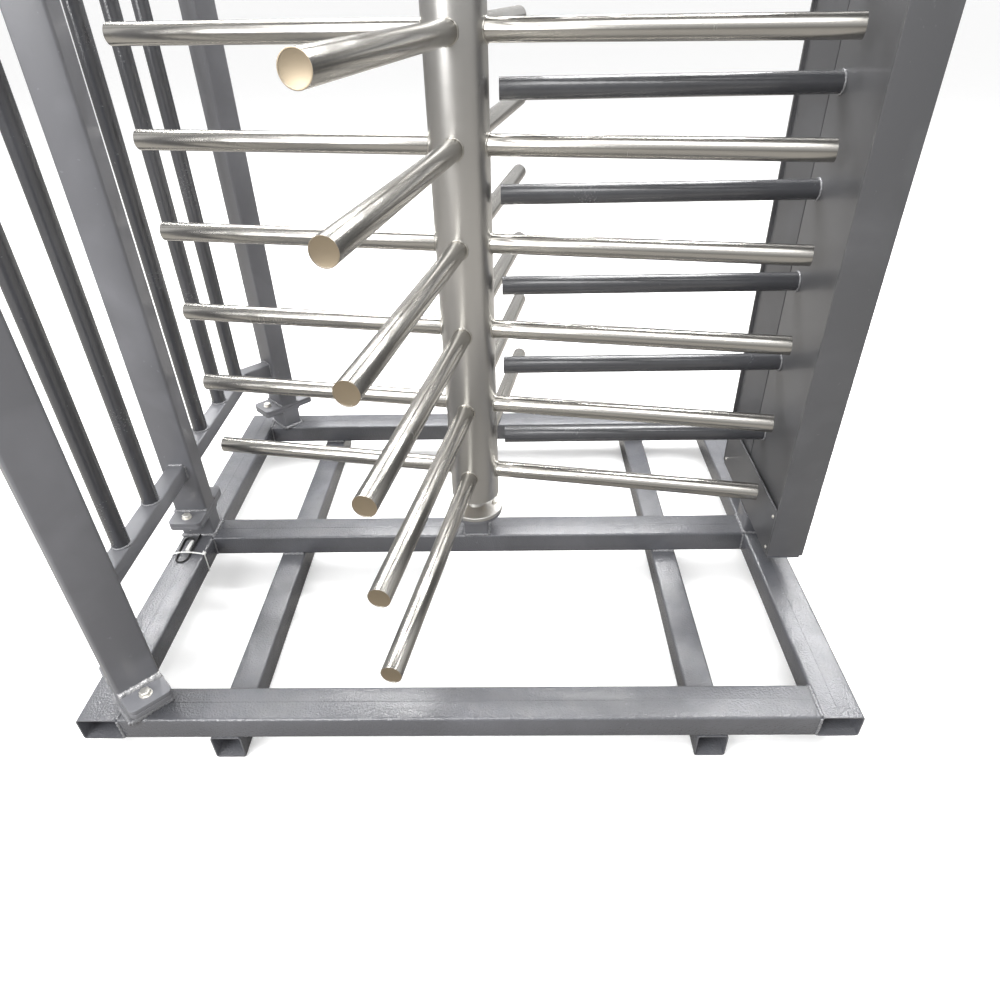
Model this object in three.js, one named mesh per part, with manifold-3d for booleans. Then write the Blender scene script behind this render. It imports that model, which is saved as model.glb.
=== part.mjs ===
// Full-height, four-wing rotor turnstile that counts visitors through one lane.
// Millimetres. X runs across the lane, Y from front (-) to rear (+), Z up.
// The rotor turns about X = Y = 0, and the skid tubes stand on Z = 0.

import * as THREE from 'three';
import { mergeVertices } from 'three/addons/utils/BufferGeometryUtils.js';
import Module from 'manifold-3d';

const wasm = await Module();
wasm.setup();

// ---------------------------------------------------------------- driving dimensions

const GAP = 0.3; // between pieces that touch

const BASE_WIDTH = 1500;
const BASE_DEPTH = 1195;
const BASE_TOP = 115;
const SKID = 60; // square section of the skid tubes
const SKID_INSET = 246; // from the base's side to the skid's outer face
const RAIL_WIDTH = 80; // rails and cross members share one section
const TUBE_WALL = 3;
const TUBE_CORNER = 6;

const POST_WIDTH = 80;
const POST_DEPTH = 55;
const STUB_HEIGHT = 56;
const FOOT_PLATE = { length: 160, thickness: 10, corner: 12 };
const FOOT_BOLT_OFFSET = 54; // bolt centres, each side of the post's centre
const FOOT_BOLT_RADIUS = 6.5;
const CORNER_POST = { x: -628, y: 557 }; // front and rear posts, turned 45 degrees

const BARRIER_X = -BASE_WIDTH / 2 + RAIL_WIDTH / 2;
const BARRIER_RAIL = 40; // square section
const LOWER_RAIL_TOP = BASE_TOP + 212;
const UPPER_RAIL_TOP = 2025;
const BAR_RADIUS = 18;
const BAR_WALL = 2;
const FRONT_BAR_Y = [-174, -324, -474];
const REAR_BAR_Y = [144, 293, 441];

const HEAD_BOTTOM = 2060;
const HEAD_TOP = 2290;
const HEAD_FRONT = -202;
const HEAD_REAR = 217;
const HEAD_WALL = 3;
const HEAD_FLOOR = 6;
const HEAD_LIP = 10;

const COLUMN = { inner: 670, outer: 750, front: -197, rear: 213, wall: 3 };
const PANEL_INSET = 7; // of the inner panels behind the flange lips
const FLANGE_LIP = 8;
const GROOVE = { y: 46, width: 4, returnDepth: 13 };
const COLUMN_BOTTOM = BASE_TOP + 58;
const SKIRT = { bottom: BASE_TOP + 54, top: BASE_TOP + 179, thickness: 2.5 };

const ARM_RADIUS = 19;
const ARM_WALL = 2;
const ARM_REACH = 656; // rotor axis to an arm's flat end
const ARM_LEVELS = 10;
const FIRST_ARM_Z = BASE_TOP + 182;
const ARM_PITCH = 177;
const ROTOR_ANGLE = THREE.MathUtils.degToRad(-10.3);
const ROTOR_RADIUS = 57;
const ROTOR_WALL = 3;
const ROTOR_BOTTOM = BASE_TOP + 110;
const ROTOR_TOP = 2040;
const SHAFT_RADIUS = 25;
const SHAFT_TOP = 2190;
const COMB_FREE_X = 74.5;

const PIVOT_STUB = 60;
const PIVOT_PLATE_TOP = BASE_TOP + 62;
const PIVOT_RADIUS = 66;
const PIN_RADIUS = 18;
const PIN_TOP = ROTOR_BOTTOM + 40;

const DISC = { radius: 70, notch: 18, notchDepth: 12, bottom: 2105, top: 2117 };
const PAWL = { x: 90, y: -60, width: 16, tooth: 10, thickness: 10, pin: 8, hub: 14, released: -14 };
const PLUNGER_Y = -20;
const PLUNGER_RADIUS = 5;
const PAWL_Z = (DISC.bottom + DISC.top) / 2;

const DOOR = { thickness: 3.7, edge: 4, hingeRadius: 3.7 };
const LOCK = { x: 380, z: HEAD_BOTTOM + 25, radius: 9 };

// ---------------------------------------------------------------- materials

const metal = (color, roughness) =>
  new THREE.MeshStandardMaterial({ color, roughness, metalness: 1 });
const coat = (color, roughness) =>
  new THREE.MeshStandardMaterial({ color, roughness, metalness: 0 });

const greyPaint = coat(0x55565a, 0.45);
const glossGrey = coat(0x3f4046, 0.3);
const stainless = metal(0xc9c4ba, 0.3);
const zinc = metal(0xb8bcc0, 0.35);
const bearingSteel = metal(0x8d9094, 0.3);
const blackPlastic = coat(0x18181a, 0.4);
const whitePlastic = coat(0xe8e8e6, 0.5);
const bronze = metal(0xa8824a, 0.4);

// ---------------------------------------------------------------- shape helpers

const group = new THREE.Group();

function add(name, geometry, material, position = [0, 0, 0], turnZ = 0) {
  const mesh = new THREE.Mesh(geometry, material);
  mesh.name = name;
  mesh.position.set(...position);
  mesh.rotation.z = turnZ;
  group.add(mesh);
  return mesh;
}

function toSolid(geometry) {
  const bare = geometry.clone();
  bare.deleteAttribute('normal');
  bare.deleteAttribute('uv');
  const merged = mergeVertices(bare, 1e-4);
  return new wasm.Manifold(new wasm.Mesh({
    numProp: 3,
    vertProperties: new Float32Array(merged.attributes.position.array),
    triVerts: new Uint32Array(merged.index.array),
  }));
}

function toGeometry(solid) {
  const mesh = solid.getMesh();
  const geometry = new THREE.BufferGeometry();
  geometry.setAttribute('position', new THREE.BufferAttribute(mesh.vertProperties, 3));
  geometry.setIndex(new THREE.BufferAttribute(mesh.triVerts, 1));
  return geometry;
}

function join(first, ...others) {
  return toGeometry(others.reduce((sum, next) => sum.add(toSolid(next)), toSolid(first)));
}

function cut(first, ...others) {
  return toGeometry(others.reduce((rest, next) => rest.subtract(toSolid(next)), toSolid(first)));
}

function roundedRect(width, height, radius, Kind = THREE.Shape) {
  const x = width / 2;
  const y = height / 2;
  const path = new Kind();
  path.moveTo(x, -y + radius);
  path.absarc(x - radius, y - radius, radius, 0, Math.PI / 2);
  path.absarc(-x + radius, y - radius, radius, Math.PI / 2, Math.PI);
  path.absarc(-x + radius, -y + radius, radius, Math.PI, 1.5 * Math.PI);
  path.absarc(x - radius, -y + radius, radius, 1.5 * Math.PI, 2 * Math.PI);
  return path;
}

function circleHole(x, y, radius) {
  const path = new THREE.Path();
  path.absarc(x, y, radius, 0, 2 * Math.PI, true);
  return path;
}

function polygon(points) {
  return new THREE.Shape(points.map(([x, y]) => new THREE.Vector2(x, y)));
}

function extrude(shape, length, curveSegments = 1) {
  return new THREE.ExtrudeGeometry(shape, { depth: length, bevelEnabled: false, curveSegments });
}

// A rectangular tube standing on the origin, open at both ends.
function rectTube(width, height, length) {
  const shape = roundedRect(width, height, TUBE_CORNER);
  const inner = [width - 2 * TUBE_WALL, height - 2 * TUBE_WALL, TUBE_CORNER - TUBE_WALL];
  shape.holes.push(roundedRect(...inner, THREE.Path));
  return extrude(shape, length);
}

const alongY = (geometry) => geometry.rotateX(-Math.PI / 2);
const alongX = (geometry) => geometry.rotateY(Math.PI / 2);

function box(x0, x1, y0, y1, z0, z1) {
  return new THREE.BoxGeometry(x1 - x0, y1 - y0, z1 - z0)
    .translate((x0 + x1) / 2, (y0 + y1) / 2, (z0 + z1) / 2);
}

function cylinder(radius, bottom, top, segments = 24) {
  return new THREE.CylinderGeometry(radius, radius, top - bottom, segments)
    .rotateX(Math.PI / 2)
    .translate(0, 0, (bottom + top) / 2);
}

// A turned piece about Z from [radius, height] points.
function turned(points, segments) {
  const profile = points.map(([radius, z]) => new THREE.Vector2(radius, z));
  return new THREE.LatheGeometry(profile, segments).rotateX(Math.PI / 2);
}

function ring(inner, outer, bottom, top, segments = 24) {
  const points = [[inner, bottom], [outer, bottom], [outer, top], [inner, top], [inner, bottom]];
  return turned(points, segments);
}

// A flat band of constant width along a bent centre line, mitred at its bends.
function bandShape(path, halfWidth) {
  const points = path.map(([x, y]) => new THREE.Vector2(x, y));
  const normals = points.slice(1).map((point, i) => {
    const along = point.clone().sub(points[i]).normalize();
    return new THREE.Vector2(-along.y, along.x);
  });
  const offset = (side) => points.map((point, i) => {
    const before = normals[Math.max(i - 1, 0)];
    const after = normals[Math.min(i, normals.length - 1)];
    const mitre = before.clone().add(after).normalize();
    return point.clone().addScaledVector(mitre, (side * halfWidth) / mitre.dot(before));
  });
  return new THREE.Shape([...offset(1), ...offset(-1).reverse()]);
}

// ---------------------------------------------------------------- base frame

function baseFrame() {
  const height = BASE_TOP - SKID - GAP;
  const middleZ = BASE_TOP - height / 2;
  const railX = (BASE_WIDTH - RAIL_WIDTH) / 2;
  for (const [side, x] of [['left', -railX], ['right', railX]]) {
    const rail = alongY(rectTube(RAIL_WIDTH, height, BASE_DEPTH));
    add(`base_rail_${side}`, rail, greyPaint, [x, -BASE_DEPTH / 2, middleZ]);
  }
  const crossLength = BASE_WIDTH - 2 * RAIL_WIDTH - 2 * GAP;
  const endY = (BASE_DEPTH - RAIL_WIDTH) / 2;
  for (const [place, y] of [['front', -endY], ['middle', 0], ['rear', endY]]) {
    const cross = alongX(rectTube(height, RAIL_WIDTH, crossLength));
    add(`base_cross_${place}`, cross, greyPaint, [-crossLength / 2, y, middleZ]);
  }
  const skidX = BASE_WIDTH / 2 - SKID_INSET - SKID / 2;
  for (const [side, x] of [['left', -skidX], ['right', skidX]]) {
    const skid = alongY(rectTube(SKID, SKID, BASE_DEPTH));
    add(`skid_${side}`, skid, greyPaint, [x, -BASE_DEPTH / 2, SKID / 2]);
  }
}

// ---------------------------------------------------------------- side barrier

// A bolted foot plate, its length along Y, with a drain hole under the tube.
function footPlate(bottom) {
  const shape = roundedRect(POST_WIDTH, FOOT_PLATE.length, FOOT_PLATE.corner);
  shape.holes.push(circleHole(0, 0, 15));
  for (const y of [-FOOT_BOLT_OFFSET, FOOT_BOLT_OFFSET]) {
    shape.holes.push(circleHole(0, y, FOOT_BOLT_RADIUS));
  }
  return extrude(shape, FOOT_PLATE.thickness, 3).translate(0, 0, bottom);
}

const STUB_BOTTOM = BASE_TOP + GAP;
const LOWER_PLATE = BASE_TOP + STUB_HEIGHT;
const UPPER_PLATE = LOWER_PLATE + FOOT_PLATE.thickness + GAP;

function footStub() {
  const tube = rectTube(POST_WIDTH, POST_DEPTH, LOWER_PLATE + 1 - STUB_BOTTOM);
  return join(footPlate(LOWER_PLATE), tube.translate(0, 0, STUB_BOTTOM));
}

function barrierPost() {
  const start = UPPER_PLATE + FOOT_PLATE.thickness - 1;
  const top = HEAD_BOTTOM - GAP;
  const tube = rectTube(POST_WIDTH, POST_DEPTH, top - start).translate(0, 0, start);
  const cap = box(
    -POST_WIDTH / 2 + TUBE_WALL / 2, POST_WIDTH / 2 - TUBE_WALL / 2,
    -POST_DEPTH / 2 + TUBE_WALL / 2, POST_DEPTH / 2 - TUBE_WALL / 2,
    top - TUBE_WALL, top,
  );
  return join(footPlate(UPPER_PLATE), tube, cap);
}

// Plan centre line of a barrier rail: straight from the middle post, then 45 degrees
// to the wide face of the corner post. side is -1 for the front bay, 1 for the rear.
function railPath(side) {
  const faceInset = (POST_DEPTH / 2 + GAP) * Math.SQRT1_2;
  const end = [CORNER_POST.x - faceInset, side * (CORNER_POST.y - faceInset)];
  const bend = [BARRIER_X, side * (Math.abs(end[1]) - (end[0] - BARRIER_X))];
  const start = [BARRIER_X, side * (POST_DEPTH / 2 + GAP)];
  return [start, bend, end];
}

function barrierRail(side, top) {
  const path = railPath(side);
  const outside = extrude(bandShape(path, BARRIER_RAIL / 2), BARRIER_RAIL);
  const [start, bend, end] = path;
  const longer = [
    [start[0], start[1] - side * 5],
    bend,
    [end[0] + 5 * Math.SQRT1_2, end[1] + side * 5 * Math.SQRT1_2],
  ];
  const bore = BARRIER_RAIL - 2 * TUBE_WALL;
  const hollow = extrude(bandShape(longer, bore / 2), bore);
  return cut(outside, hollow.translate(0, 0, TUBE_WALL)).translate(0, 0, top - BARRIER_RAIL);
}

function barrier() {
  const eighth = Math.PI / 4;
  const posts = [
    ['front', [CORNER_POST.x, -CORNER_POST.y, 0], eighth],
    ['middle', [BARRIER_X, 0, 0], 0],
    ['rear', [CORNER_POST.x, CORNER_POST.y, 0], -eighth],
  ];
  for (const [place, position, turn] of posts) {
    add(`foot_stub_${place}`, footStub(), greyPaint, position, turn);
    add(`barrier_post_${place}`, barrierPost(), greyPaint, position, turn);
  }
  for (const [bay, side] of [['front', -1], ['rear', 1]]) {
    add(`barrier_rail_lower_${bay}`, barrierRail(side, LOWER_RAIL_TOP), greyPaint);
    add(`barrier_rail_upper_${bay}`, barrierRail(side, UPPER_RAIL_TOP), greyPaint);
  }
  const bottom = LOWER_RAIL_TOP + GAP;
  const top = UPPER_RAIL_TOP - BARRIER_RAIL - GAP;
  [...FRONT_BAR_Y, ...REAR_BAR_Y].forEach((y, i) => {
    const bar = ring(BAR_RADIUS - BAR_WALL, BAR_RADIUS, bottom, top, 16);
    add(`barrier_bar_${i + 1}`, bar, glossGrey, [BARRIER_X, y, 0]);
  });
}

// ---------------------------------------------------------------- column and comb

function columnShell() {
  const { inner, outer, front, rear, wall } = COLUMN;
  const panel = inner + PANEL_INSET;
  const back = panel + wall;
  const deep = panel + GROOVE.returnDepth;
  const near = GROOVE.y - GROOVE.width / 2;
  const far = GROOVE.y + GROOVE.width / 2;
  return extrude(polygon([
    [panel, near], [panel, front + FLANGE_LIP], [inner, front + FLANGE_LIP], [inner, front],
    [outer, front], [outer, rear], [inner, rear], [inner, rear - FLANGE_LIP],
    [panel, rear - FLANGE_LIP], [panel, far], [deep, far], [deep, far + wall],
    [back, far + wall], [back, rear - wall], [outer - wall, rear - wall],
    [outer - wall, front + wall], [back, front + wall], [back, near - wall],
    [deep, near - wall], [deep, near],
  ]), HEAD_BOTTOM - GAP - COLUMN_BOTTOM).translate(0, 0, COLUMN_BOTTOM);
}

function columnStub() {
  const { inner, outer, front, rear } = COLUMN;
  const plateTop = COLUMN_BOTTOM - GAP;
  const plateBottom = plateTop - FOOT_PLATE.thickness;
  const plate = box(inner + 4, outer - 4, front + 6, rear - 6, plateBottom, plateTop);
  const drain = cylinder(15, plateBottom - 1, plateTop + 1, 12)
    .translate((inner + outer) / 2, 0, 0);
  const tube = rectTube(outer - inner, 76, plateBottom + 1 - STUB_BOTTOM)
    .translate((inner + outer) / 2, 0, STUB_BOTTOM);
  return join(cut(plate, drain), tube);
}

function columnSkirt() {
  const x = COLUMN.inner + 0.5;
  const front = COLUMN.front + FLANGE_LIP + 0.5;
  const rear = COLUMN.rear - FLANGE_LIP - 0.5;
  return box(x, x + SKIRT.thickness, front, rear, SKIRT.bottom, SKIRT.top);
}

// A comb bar lies along -X from the inner panel and is closed at its free end.
function combBar() {
  const root = COLUMN.inner + PANEL_INSET - GAP;
  const length = root - COMB_FREE_X;
  const bore = ARM_RADIUS - ARM_WALL;
  const profile = [
    [0, 0], [ARM_RADIUS, 0], [ARM_RADIUS, length], [bore, length], [bore, ARM_WALL], [0, ARM_WALL],
  ];
  return alongX(turned(profile, 14)).translate(COMB_FREE_X, 0, 0);
}

function column() {
  add('column_stub', columnStub(), greyPaint);
  add('column_shell', columnShell(), greyPaint);
  add('column_skirt', columnSkirt(), greyPaint);
  for (let level = 1; level < ARM_LEVELS; level += 1) {
    const z = FIRST_ARM_Z + (level - 0.5) * ARM_PITCH;
    add(`comb_bar_${level}`, combBar(), glossGrey, [0, 0, z]);
  }
}

// ---------------------------------------------------------------- rotor and its pivot

function pivot() {
  const plateBottom = PIVOT_PLATE_TOP - 9;
  const stub = rectTube(PIVOT_STUB, RAIL_WIDTH - 6, plateBottom + 1 - STUB_BOTTOM);
  const plate = ring(10, PIVOT_RADIUS - 2, plateBottom, PIVOT_PLATE_TOP);
  add('pivot_stub', join(plate, stub.translate(0, 0, STUB_BOTTOM)), greyPaint);

  const bottom = PIVOT_PLATE_TOP + GAP;
  const flange = turned([
    [0, bottom], [PIVOT_RADIUS, bottom], [PIVOT_RADIUS, bottom + 8.5],
    [PIVOT_RADIUS - 1.5, bottom + 10], [PIN_RADIUS, bottom + 10], [PIN_RADIUS, PIN_TOP], [0, PIN_TOP],
  ], 24);
  add('pivot_flange', flange, stainless);

  const outer = ROTOR_RADIUS - ROTOR_WALL - GAP;
  const bush = ring(PIN_RADIUS + GAP, outer, ROTOR_BOTTOM + 2, ROTOR_BOTTOM + 34);
  add('pivot_bush', bush, bronze);
}

// Four arms of one level: two crossed tubes, capped at their ends and vented into the column.
function armTubes(radius, reach) {
  const tube = cylinder(radius, -reach, reach, 12).rotateY(Math.PI / 2);
  return [tube, tube.clone().rotateZ(Math.PI / 2)];
}

function armCross() {
  const outside = join(...armTubes(ARM_RADIUS, ARM_REACH));
  const vent = cylinder(8, -ARM_RADIUS - 1, ARM_RADIUS + 1, 8);
  return cut(outside, ...armTubes(ARM_RADIUS - ARM_WALL, ARM_REACH - 3), vent);
}

function rotorColumn() {
  const bore = ROTOR_RADIUS - ROTOR_WALL;
  const plugBottom = ROTOR_TOP - 14;
  const body = turned([
    [bore, ROTOR_BOTTOM], [ROTOR_RADIUS, ROTOR_BOTTOM], [ROTOR_RADIUS, ROTOR_TOP],
    [SHAFT_RADIUS, ROTOR_TOP], [SHAFT_RADIUS, SHAFT_TOP], [0, SHAFT_TOP],
    [0, plugBottom], [bore, plugBottom], [bore, ROTOR_BOTTOM],
  ], 32);
  const holes = [];
  for (let level = 0; level < ARM_LEVELS; level += 1) {
    for (const tube of armTubes(ARM_RADIUS + GAP + 0.1, ROTOR_RADIUS + 5)) {
      holes.push(tube.translate(0, 0, FIRST_ARM_Z + level * ARM_PITCH));
    }
  }
  return cut(body, ...holes);
}

function rotor() {
  add('rotor_column', rotorColumn(), stainless, [0, 0, 0], ROTOR_ANGLE);
  for (let level = 0; level < ARM_LEVELS; level += 1) {
    const z = FIRST_ARM_Z + level * ARM_PITCH;
    add(`arm_cross_${level + 1}`, armCross(), stainless, [0, 0, z], ROTOR_ANGLE);
  }
  const disc = new THREE.Shape();
  const half = Math.asin(DISC.notch / 2 / DISC.radius);
  const floor = DISC.radius - DISC.notchDepth;
  for (let quarter = 0; quarter < 4; quarter += 1) {
    const turn = (quarter * Math.PI) / 2;
    const corner = new THREE.Vector2(floor, -DISC.notch / 2);
    const other = new THREE.Vector2(floor, DISC.notch / 2);
    corner.rotateAround(new THREE.Vector2(), turn);
    other.rotateAround(new THREE.Vector2(), turn);
    disc.lineTo(corner.x, corner.y);
    disc.lineTo(other.x, other.y);
    disc.absarc(0, 0, DISC.radius, turn + half, turn + Math.PI / 2 - half);
  }
  disc.curves.shift();
  disc.holes.push(circleHole(0, 0, SHAFT_RADIUS + 2 * GAP));
  const plate = extrude(disc, DISC.top - DISC.bottom, 8);
  add('index_disc', plate, zinc, [0, 0, DISC.bottom]);
}

// ---------------------------------------------------------------- head and lock mechanism

function headHousing() {
  const half = BASE_WIDTH / 2;
  const tray = box(-half, half, HEAD_FRONT, HEAD_REAR, HEAD_BOTTOM, HEAD_TOP);
  const inside = box(
    -half + HEAD_WALL, half - HEAD_WALL, HEAD_FRONT + HEAD_WALL, HEAD_REAR - HEAD_WALL,
    HEAD_BOTTOM + HEAD_FLOOR, HEAD_TOP - HEAD_WALL,
  );
  const front = box(
    -half + HEAD_WALL, half - HEAD_WALL, HEAD_FRONT - 1, HEAD_FRONT + HEAD_WALL + 1,
    HEAD_BOTTOM + HEAD_FLOOR + HEAD_LIP, HEAD_TOP - HEAD_WALL,
  );
  const shaftHole = cylinder(SHAFT_RADIUS + 4, HEAD_BOTTOM - 1, HEAD_BOTTOM + HEAD_FLOOR + 1);
  const pawlPin = cylinder(PAWL.pin, HEAD_BOTTOM + 2, DISC.top + 6, 16)
    .translate(PAWL.x, PAWL.y, 0);
  return join(cut(tray, inside, front, shaftHole), pawlPin);
}

function headDoor() {
  const half = BASE_WIDTH / 2 - DOOR.edge;
  const back = HEAD_FRONT - GAP;
  const hingeZ = HEAD_TOP - DOOR.edge;
  const panel = box(-half, half, back - DOOR.thickness, back, HEAD_BOTTOM + DOOR.edge, hingeZ);
  const barrel = cylinder(DOOR.hingeRadius, -half, half, 12)
    .rotateY(Math.PI / 2)
    .translate(0, HEAD_FRONT - DOOR.edge - GAP, hingeZ);
  const keyhole = cylinder(LOCK.radius + GAP, -20, 20, 16)
    .rotateX(Math.PI / 2)
    .translate(LOCK.x, HEAD_FRONT, LOCK.z);
  return cut(join(panel, barrel), keyhole);
}

// Cam lock through the door. Its cam points along +X when open and down when locked.
function doorLock() {
  const y = HEAD_FRONT;
  const camFront = y + HEAD_WALL + GAP;
  const flange = cylinder(LOCK.radius + 3, -2.6, 0, 16).rotateX(Math.PI / 2)
    .translate(0, y - GAP - DOOR.thickness - GAP - 2.6, 0);
  const barrel = cylinder(LOCK.radius, 0, 14, 16).rotateX(-Math.PI / 2)
    .translate(0, y - GAP - DOOR.thickness - GAP - 1, 0);
  const cam = box(-5, 17.5, camFront, camFront + 3, -5, 5);
  return join(flange, barrel, cam).translate(LOCK.x, 0, LOCK.z);
}

function topBearing() {
  const bottom = HEAD_BOTTOM + HEAD_FLOOR + GAP;
  const bore = SHAFT_RADIUS + GAP;
  return turned([
    [bore, bottom], [58, bottom], [58, bottom + 10], [42, bottom + 14], [42, bottom + 30],
    [bore, bottom + 30], [bore, bottom],
  ], 24);
}

// The pawl's plan is drawn engaged, about its pin, then turned to its released rest.
function lockPawl() {
  const half = PAWL.width / 2;
  const tip = DISC.radius - 10 - PAWL.x;
  const shape = new THREE.Shape();
  shape.absarc(0, 0, PAWL.hub, Math.PI - 0.6, 2 * Math.PI + 0.6);
  shape.lineTo(half, -PAWL.y + half + 4);
  shape.lineTo(-half, -PAWL.y + half + 4);
  shape.lineTo(-half - 2, -PAWL.y + PAWL.tooth / 2 + 2);
  shape.lineTo(tip, -PAWL.y + PAWL.tooth / 2);
  shape.lineTo(tip, -PAWL.y - PAWL.tooth / 2);
  shape.lineTo(-half - 2, -PAWL.y - PAWL.tooth / 2 - 2);
  shape.lineTo(-half, -PAWL.y - half - 3);
  shape.holes.push(circleHole(0, 0, PAWL.pin + GAP));
  return extrude(shape, PAWL.thickness, 8).translate(0, 0, -PAWL.thickness / 2);
}

function solenoid() {
  const front = 126;
  const rear = 206;
  const floor = HEAD_BOTTOM + HEAD_FLOOR + GAP;
  const body = box(front, rear, PLUNGER_Y - 28, PLUNGER_Y + 28, floor, PAWL_Z + 28);
  const bore = alongX(cylinder(PLUNGER_RADIUS + 0.4, front - 2, rear + 2, 16))
    .translate(0, PLUNGER_Y, PAWL_Z);
  add('solenoid_body', cut(body, bore), blackPlastic);

  const tip = 110.8;
  const plunger = turned([
    [0, tip], [2, tip], [PLUNGER_RADIUS, tip + 8], [PLUNGER_RADIUS, rear - 16], [0, rear - 16],
  ], 16);
  add('solenoid_plunger', alongX(plunger), bearingSteel, [0, PLUNGER_Y, PAWL_Z]);
}

function head() {
  add('head_housing', headHousing(), greyPaint);
  add('head_door', headDoor(), greyPaint);
  add('door_lock', doorLock(), zinc);
  add('top_bearing', topBearing(), bearingSteel);
  const released = THREE.MathUtils.degToRad(PAWL.released);
  add('lock_pawl', lockPawl(), bearingSteel, [PAWL.x, PAWL.y, PAWL_Z], released);
  solenoid();
}

// ---------------------------------------------------------------- sensor lead on the left rail

const LEAD_RADIUS = 2.4;
const LEAD_Z = BASE_TOP + GAP + LEAD_RADIUS;
const TIE = { y: -104, width: 4.5, thickness: 1.2 };

// Route in plan: out of the middle stub, forward, round a loop and back to the connector.
const LEAD_ROUTE = [
  [-704, -28.2], [-704, -45], [-704, -75], [-704, -105], [-704.5, -122], [-706.3, -128.8],
  [-711.3, -133.7], [-718, -135.5], [-724.8, -133.7], [-729.7, -128.8], [-731.5, -122], [-733, -108],
  [-735, -85], [-736.4, -64], [-736.5, -54], [-735, -48.5], [-731, -44.5], [-725.5, -43],
  [-720, -44.5], [-716, -48.5], [-714.5, -54], [-714.5, -56.1],
];

function sensorLead() {
  const points = LEAD_ROUTE.map(([x, y]) => new THREE.Vector3(x, y, LEAD_Z));
  const route = new THREE.CatmullRomCurve3(points, false, 'centripetal');
  const section = new THREE.Shape();
  section.absarc(0, 0, LEAD_RADIUS, 0, 2 * Math.PI);
  const lead = new THREE.ExtrudeGeometry(section, {
    steps: 36, curveSegments: 4, bevelEnabled: false, extrudePath: route,
  });
  add('sensor_lead', lead, blackPlastic);
  add('lead_connector', box(-719, -710, -94, -56.4, BASE_TOP + GAP, BASE_TOP + 7), whitePlastic);
}

function cableTie() {
  const left = -BASE_WIDTH / 2;
  const right = left + RAIL_WIDTH;
  const bottom = SKID;
  const crest = BASE_TOP + 2 * LEAD_RADIUS + 2.5;
  const band = (out) => [
    [left - GAP - out, bottom - out], [right + GAP + out, bottom - out],
    [right + GAP + out, BASE_TOP + out], [right - 20, crest + out], [left + 12, crest + out],
    [left - GAP - out, BASE_TOP + out],
  ];
  const shape = polygon(band(TIE.thickness));
  shape.holes.push(polygon(band(0)));
  const loop = extrude(shape, TIE.width).rotateX(Math.PI / 2).translate(0, TIE.y + TIE.width / 2, 0);
  const lock = box(right + GAP, right + 6, TIE.y - 4, TIE.y + 4, BASE_TOP - 9, BASE_TOP - 2);
  add('cable_tie', join(loop, lock), whitePlastic);
}

baseFrame();
barrier();
column();
pivot();
rotor();
head();
sensorLead();
cableTie();

export default group;
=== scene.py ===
# %% [markdown]
# # A full-height turnstile that counts visitors
# The machine is welded from steel tube and folded sheet. A stainless rotor with four wings of
# round arms turns between a comb of fixed bars and a barred side barrier. The solid model is
# loaded first as a fixed frame, and each visible piece is then modelled around it in metres.

# %% Load the frame
import math

import bmesh
import bpy
from mathutils import Matrix, Vector


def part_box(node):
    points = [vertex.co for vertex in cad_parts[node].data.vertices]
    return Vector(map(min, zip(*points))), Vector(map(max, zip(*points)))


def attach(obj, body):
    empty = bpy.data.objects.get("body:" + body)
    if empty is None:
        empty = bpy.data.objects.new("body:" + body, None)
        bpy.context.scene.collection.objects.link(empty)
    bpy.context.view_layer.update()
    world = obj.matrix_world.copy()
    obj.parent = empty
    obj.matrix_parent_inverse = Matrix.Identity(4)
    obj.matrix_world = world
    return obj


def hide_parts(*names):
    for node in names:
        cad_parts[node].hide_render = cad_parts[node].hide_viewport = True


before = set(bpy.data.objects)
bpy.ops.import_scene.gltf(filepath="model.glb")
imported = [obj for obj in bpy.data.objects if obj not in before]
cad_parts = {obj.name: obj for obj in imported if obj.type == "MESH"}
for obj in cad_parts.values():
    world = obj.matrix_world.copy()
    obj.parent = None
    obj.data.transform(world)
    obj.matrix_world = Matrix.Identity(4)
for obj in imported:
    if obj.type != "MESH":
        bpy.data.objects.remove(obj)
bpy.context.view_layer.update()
MM = 0.001

# %% [markdown]
# ## Camera
# A camera could be aimed with a Track To constraint, but a hand-held view also leans a little.
# So the three angles are given, and the camera's own axes are built from them.

# %% Camera
CAMERA_PLACE = Vector((0.0919, -1.4612, 1.2480))
CAMERA_DOWN = math.radians(35.747)
CAMERA_TURN = math.radians(-1.256)
CAMERA_LEAN = math.radians(-1.287)
CAMERA_LENS = 25.94

forward = Vector((
    math.sin(CAMERA_TURN) * math.cos(CAMERA_DOWN),
    math.cos(CAMERA_TURN) * math.cos(CAMERA_DOWN),
    -math.sin(CAMERA_DOWN),
))
level = Vector((math.cos(CAMERA_TURN), -math.sin(CAMERA_TURN), 0))
above = level.cross(forward)
right = math.cos(CAMERA_LEAN) * level + math.sin(CAMERA_LEAN) * above
up = math.cos(CAMERA_LEAN) * above - math.sin(CAMERA_LEAN) * level

camera = bpy.data.objects.new("camera", bpy.data.cameras.new("camera"))
camera.data.lens = CAMERA_LENS
camera.data.clip_end = 500
axes = Matrix((right, up, -forward)).transposed().to_4x4()
camera.matrix_world = Matrix.Translation(CAMERA_PLACE) @ axes
bpy.context.scene.collection.objects.link(camera)
bpy.context.scene.camera = camera
print("camera looks down", round(math.degrees(CAMERA_DOWN), 1), "degrees")

# %% [markdown]
# ## Shader helpers
# Materials are node trees. `put` adds one node, sets what it is told and links its inputs, so
# that each finish below reads as a short list. `new_group` opens an effect that several
# finishes share.

# %% Shader helpers


def put(tree, kind, inputs=None, **settings):
    made = tree.nodes.new("ShaderNode" + kind)
    for name, value in settings.items():
        setattr(made, name, value)
    for key, value in (inputs or {}).items():
        if isinstance(value, bpy.types.NodeSocket):
            tree.links.new(value, made.inputs[key])
        else:
            made.inputs[key].default_value = value
    return made


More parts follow.
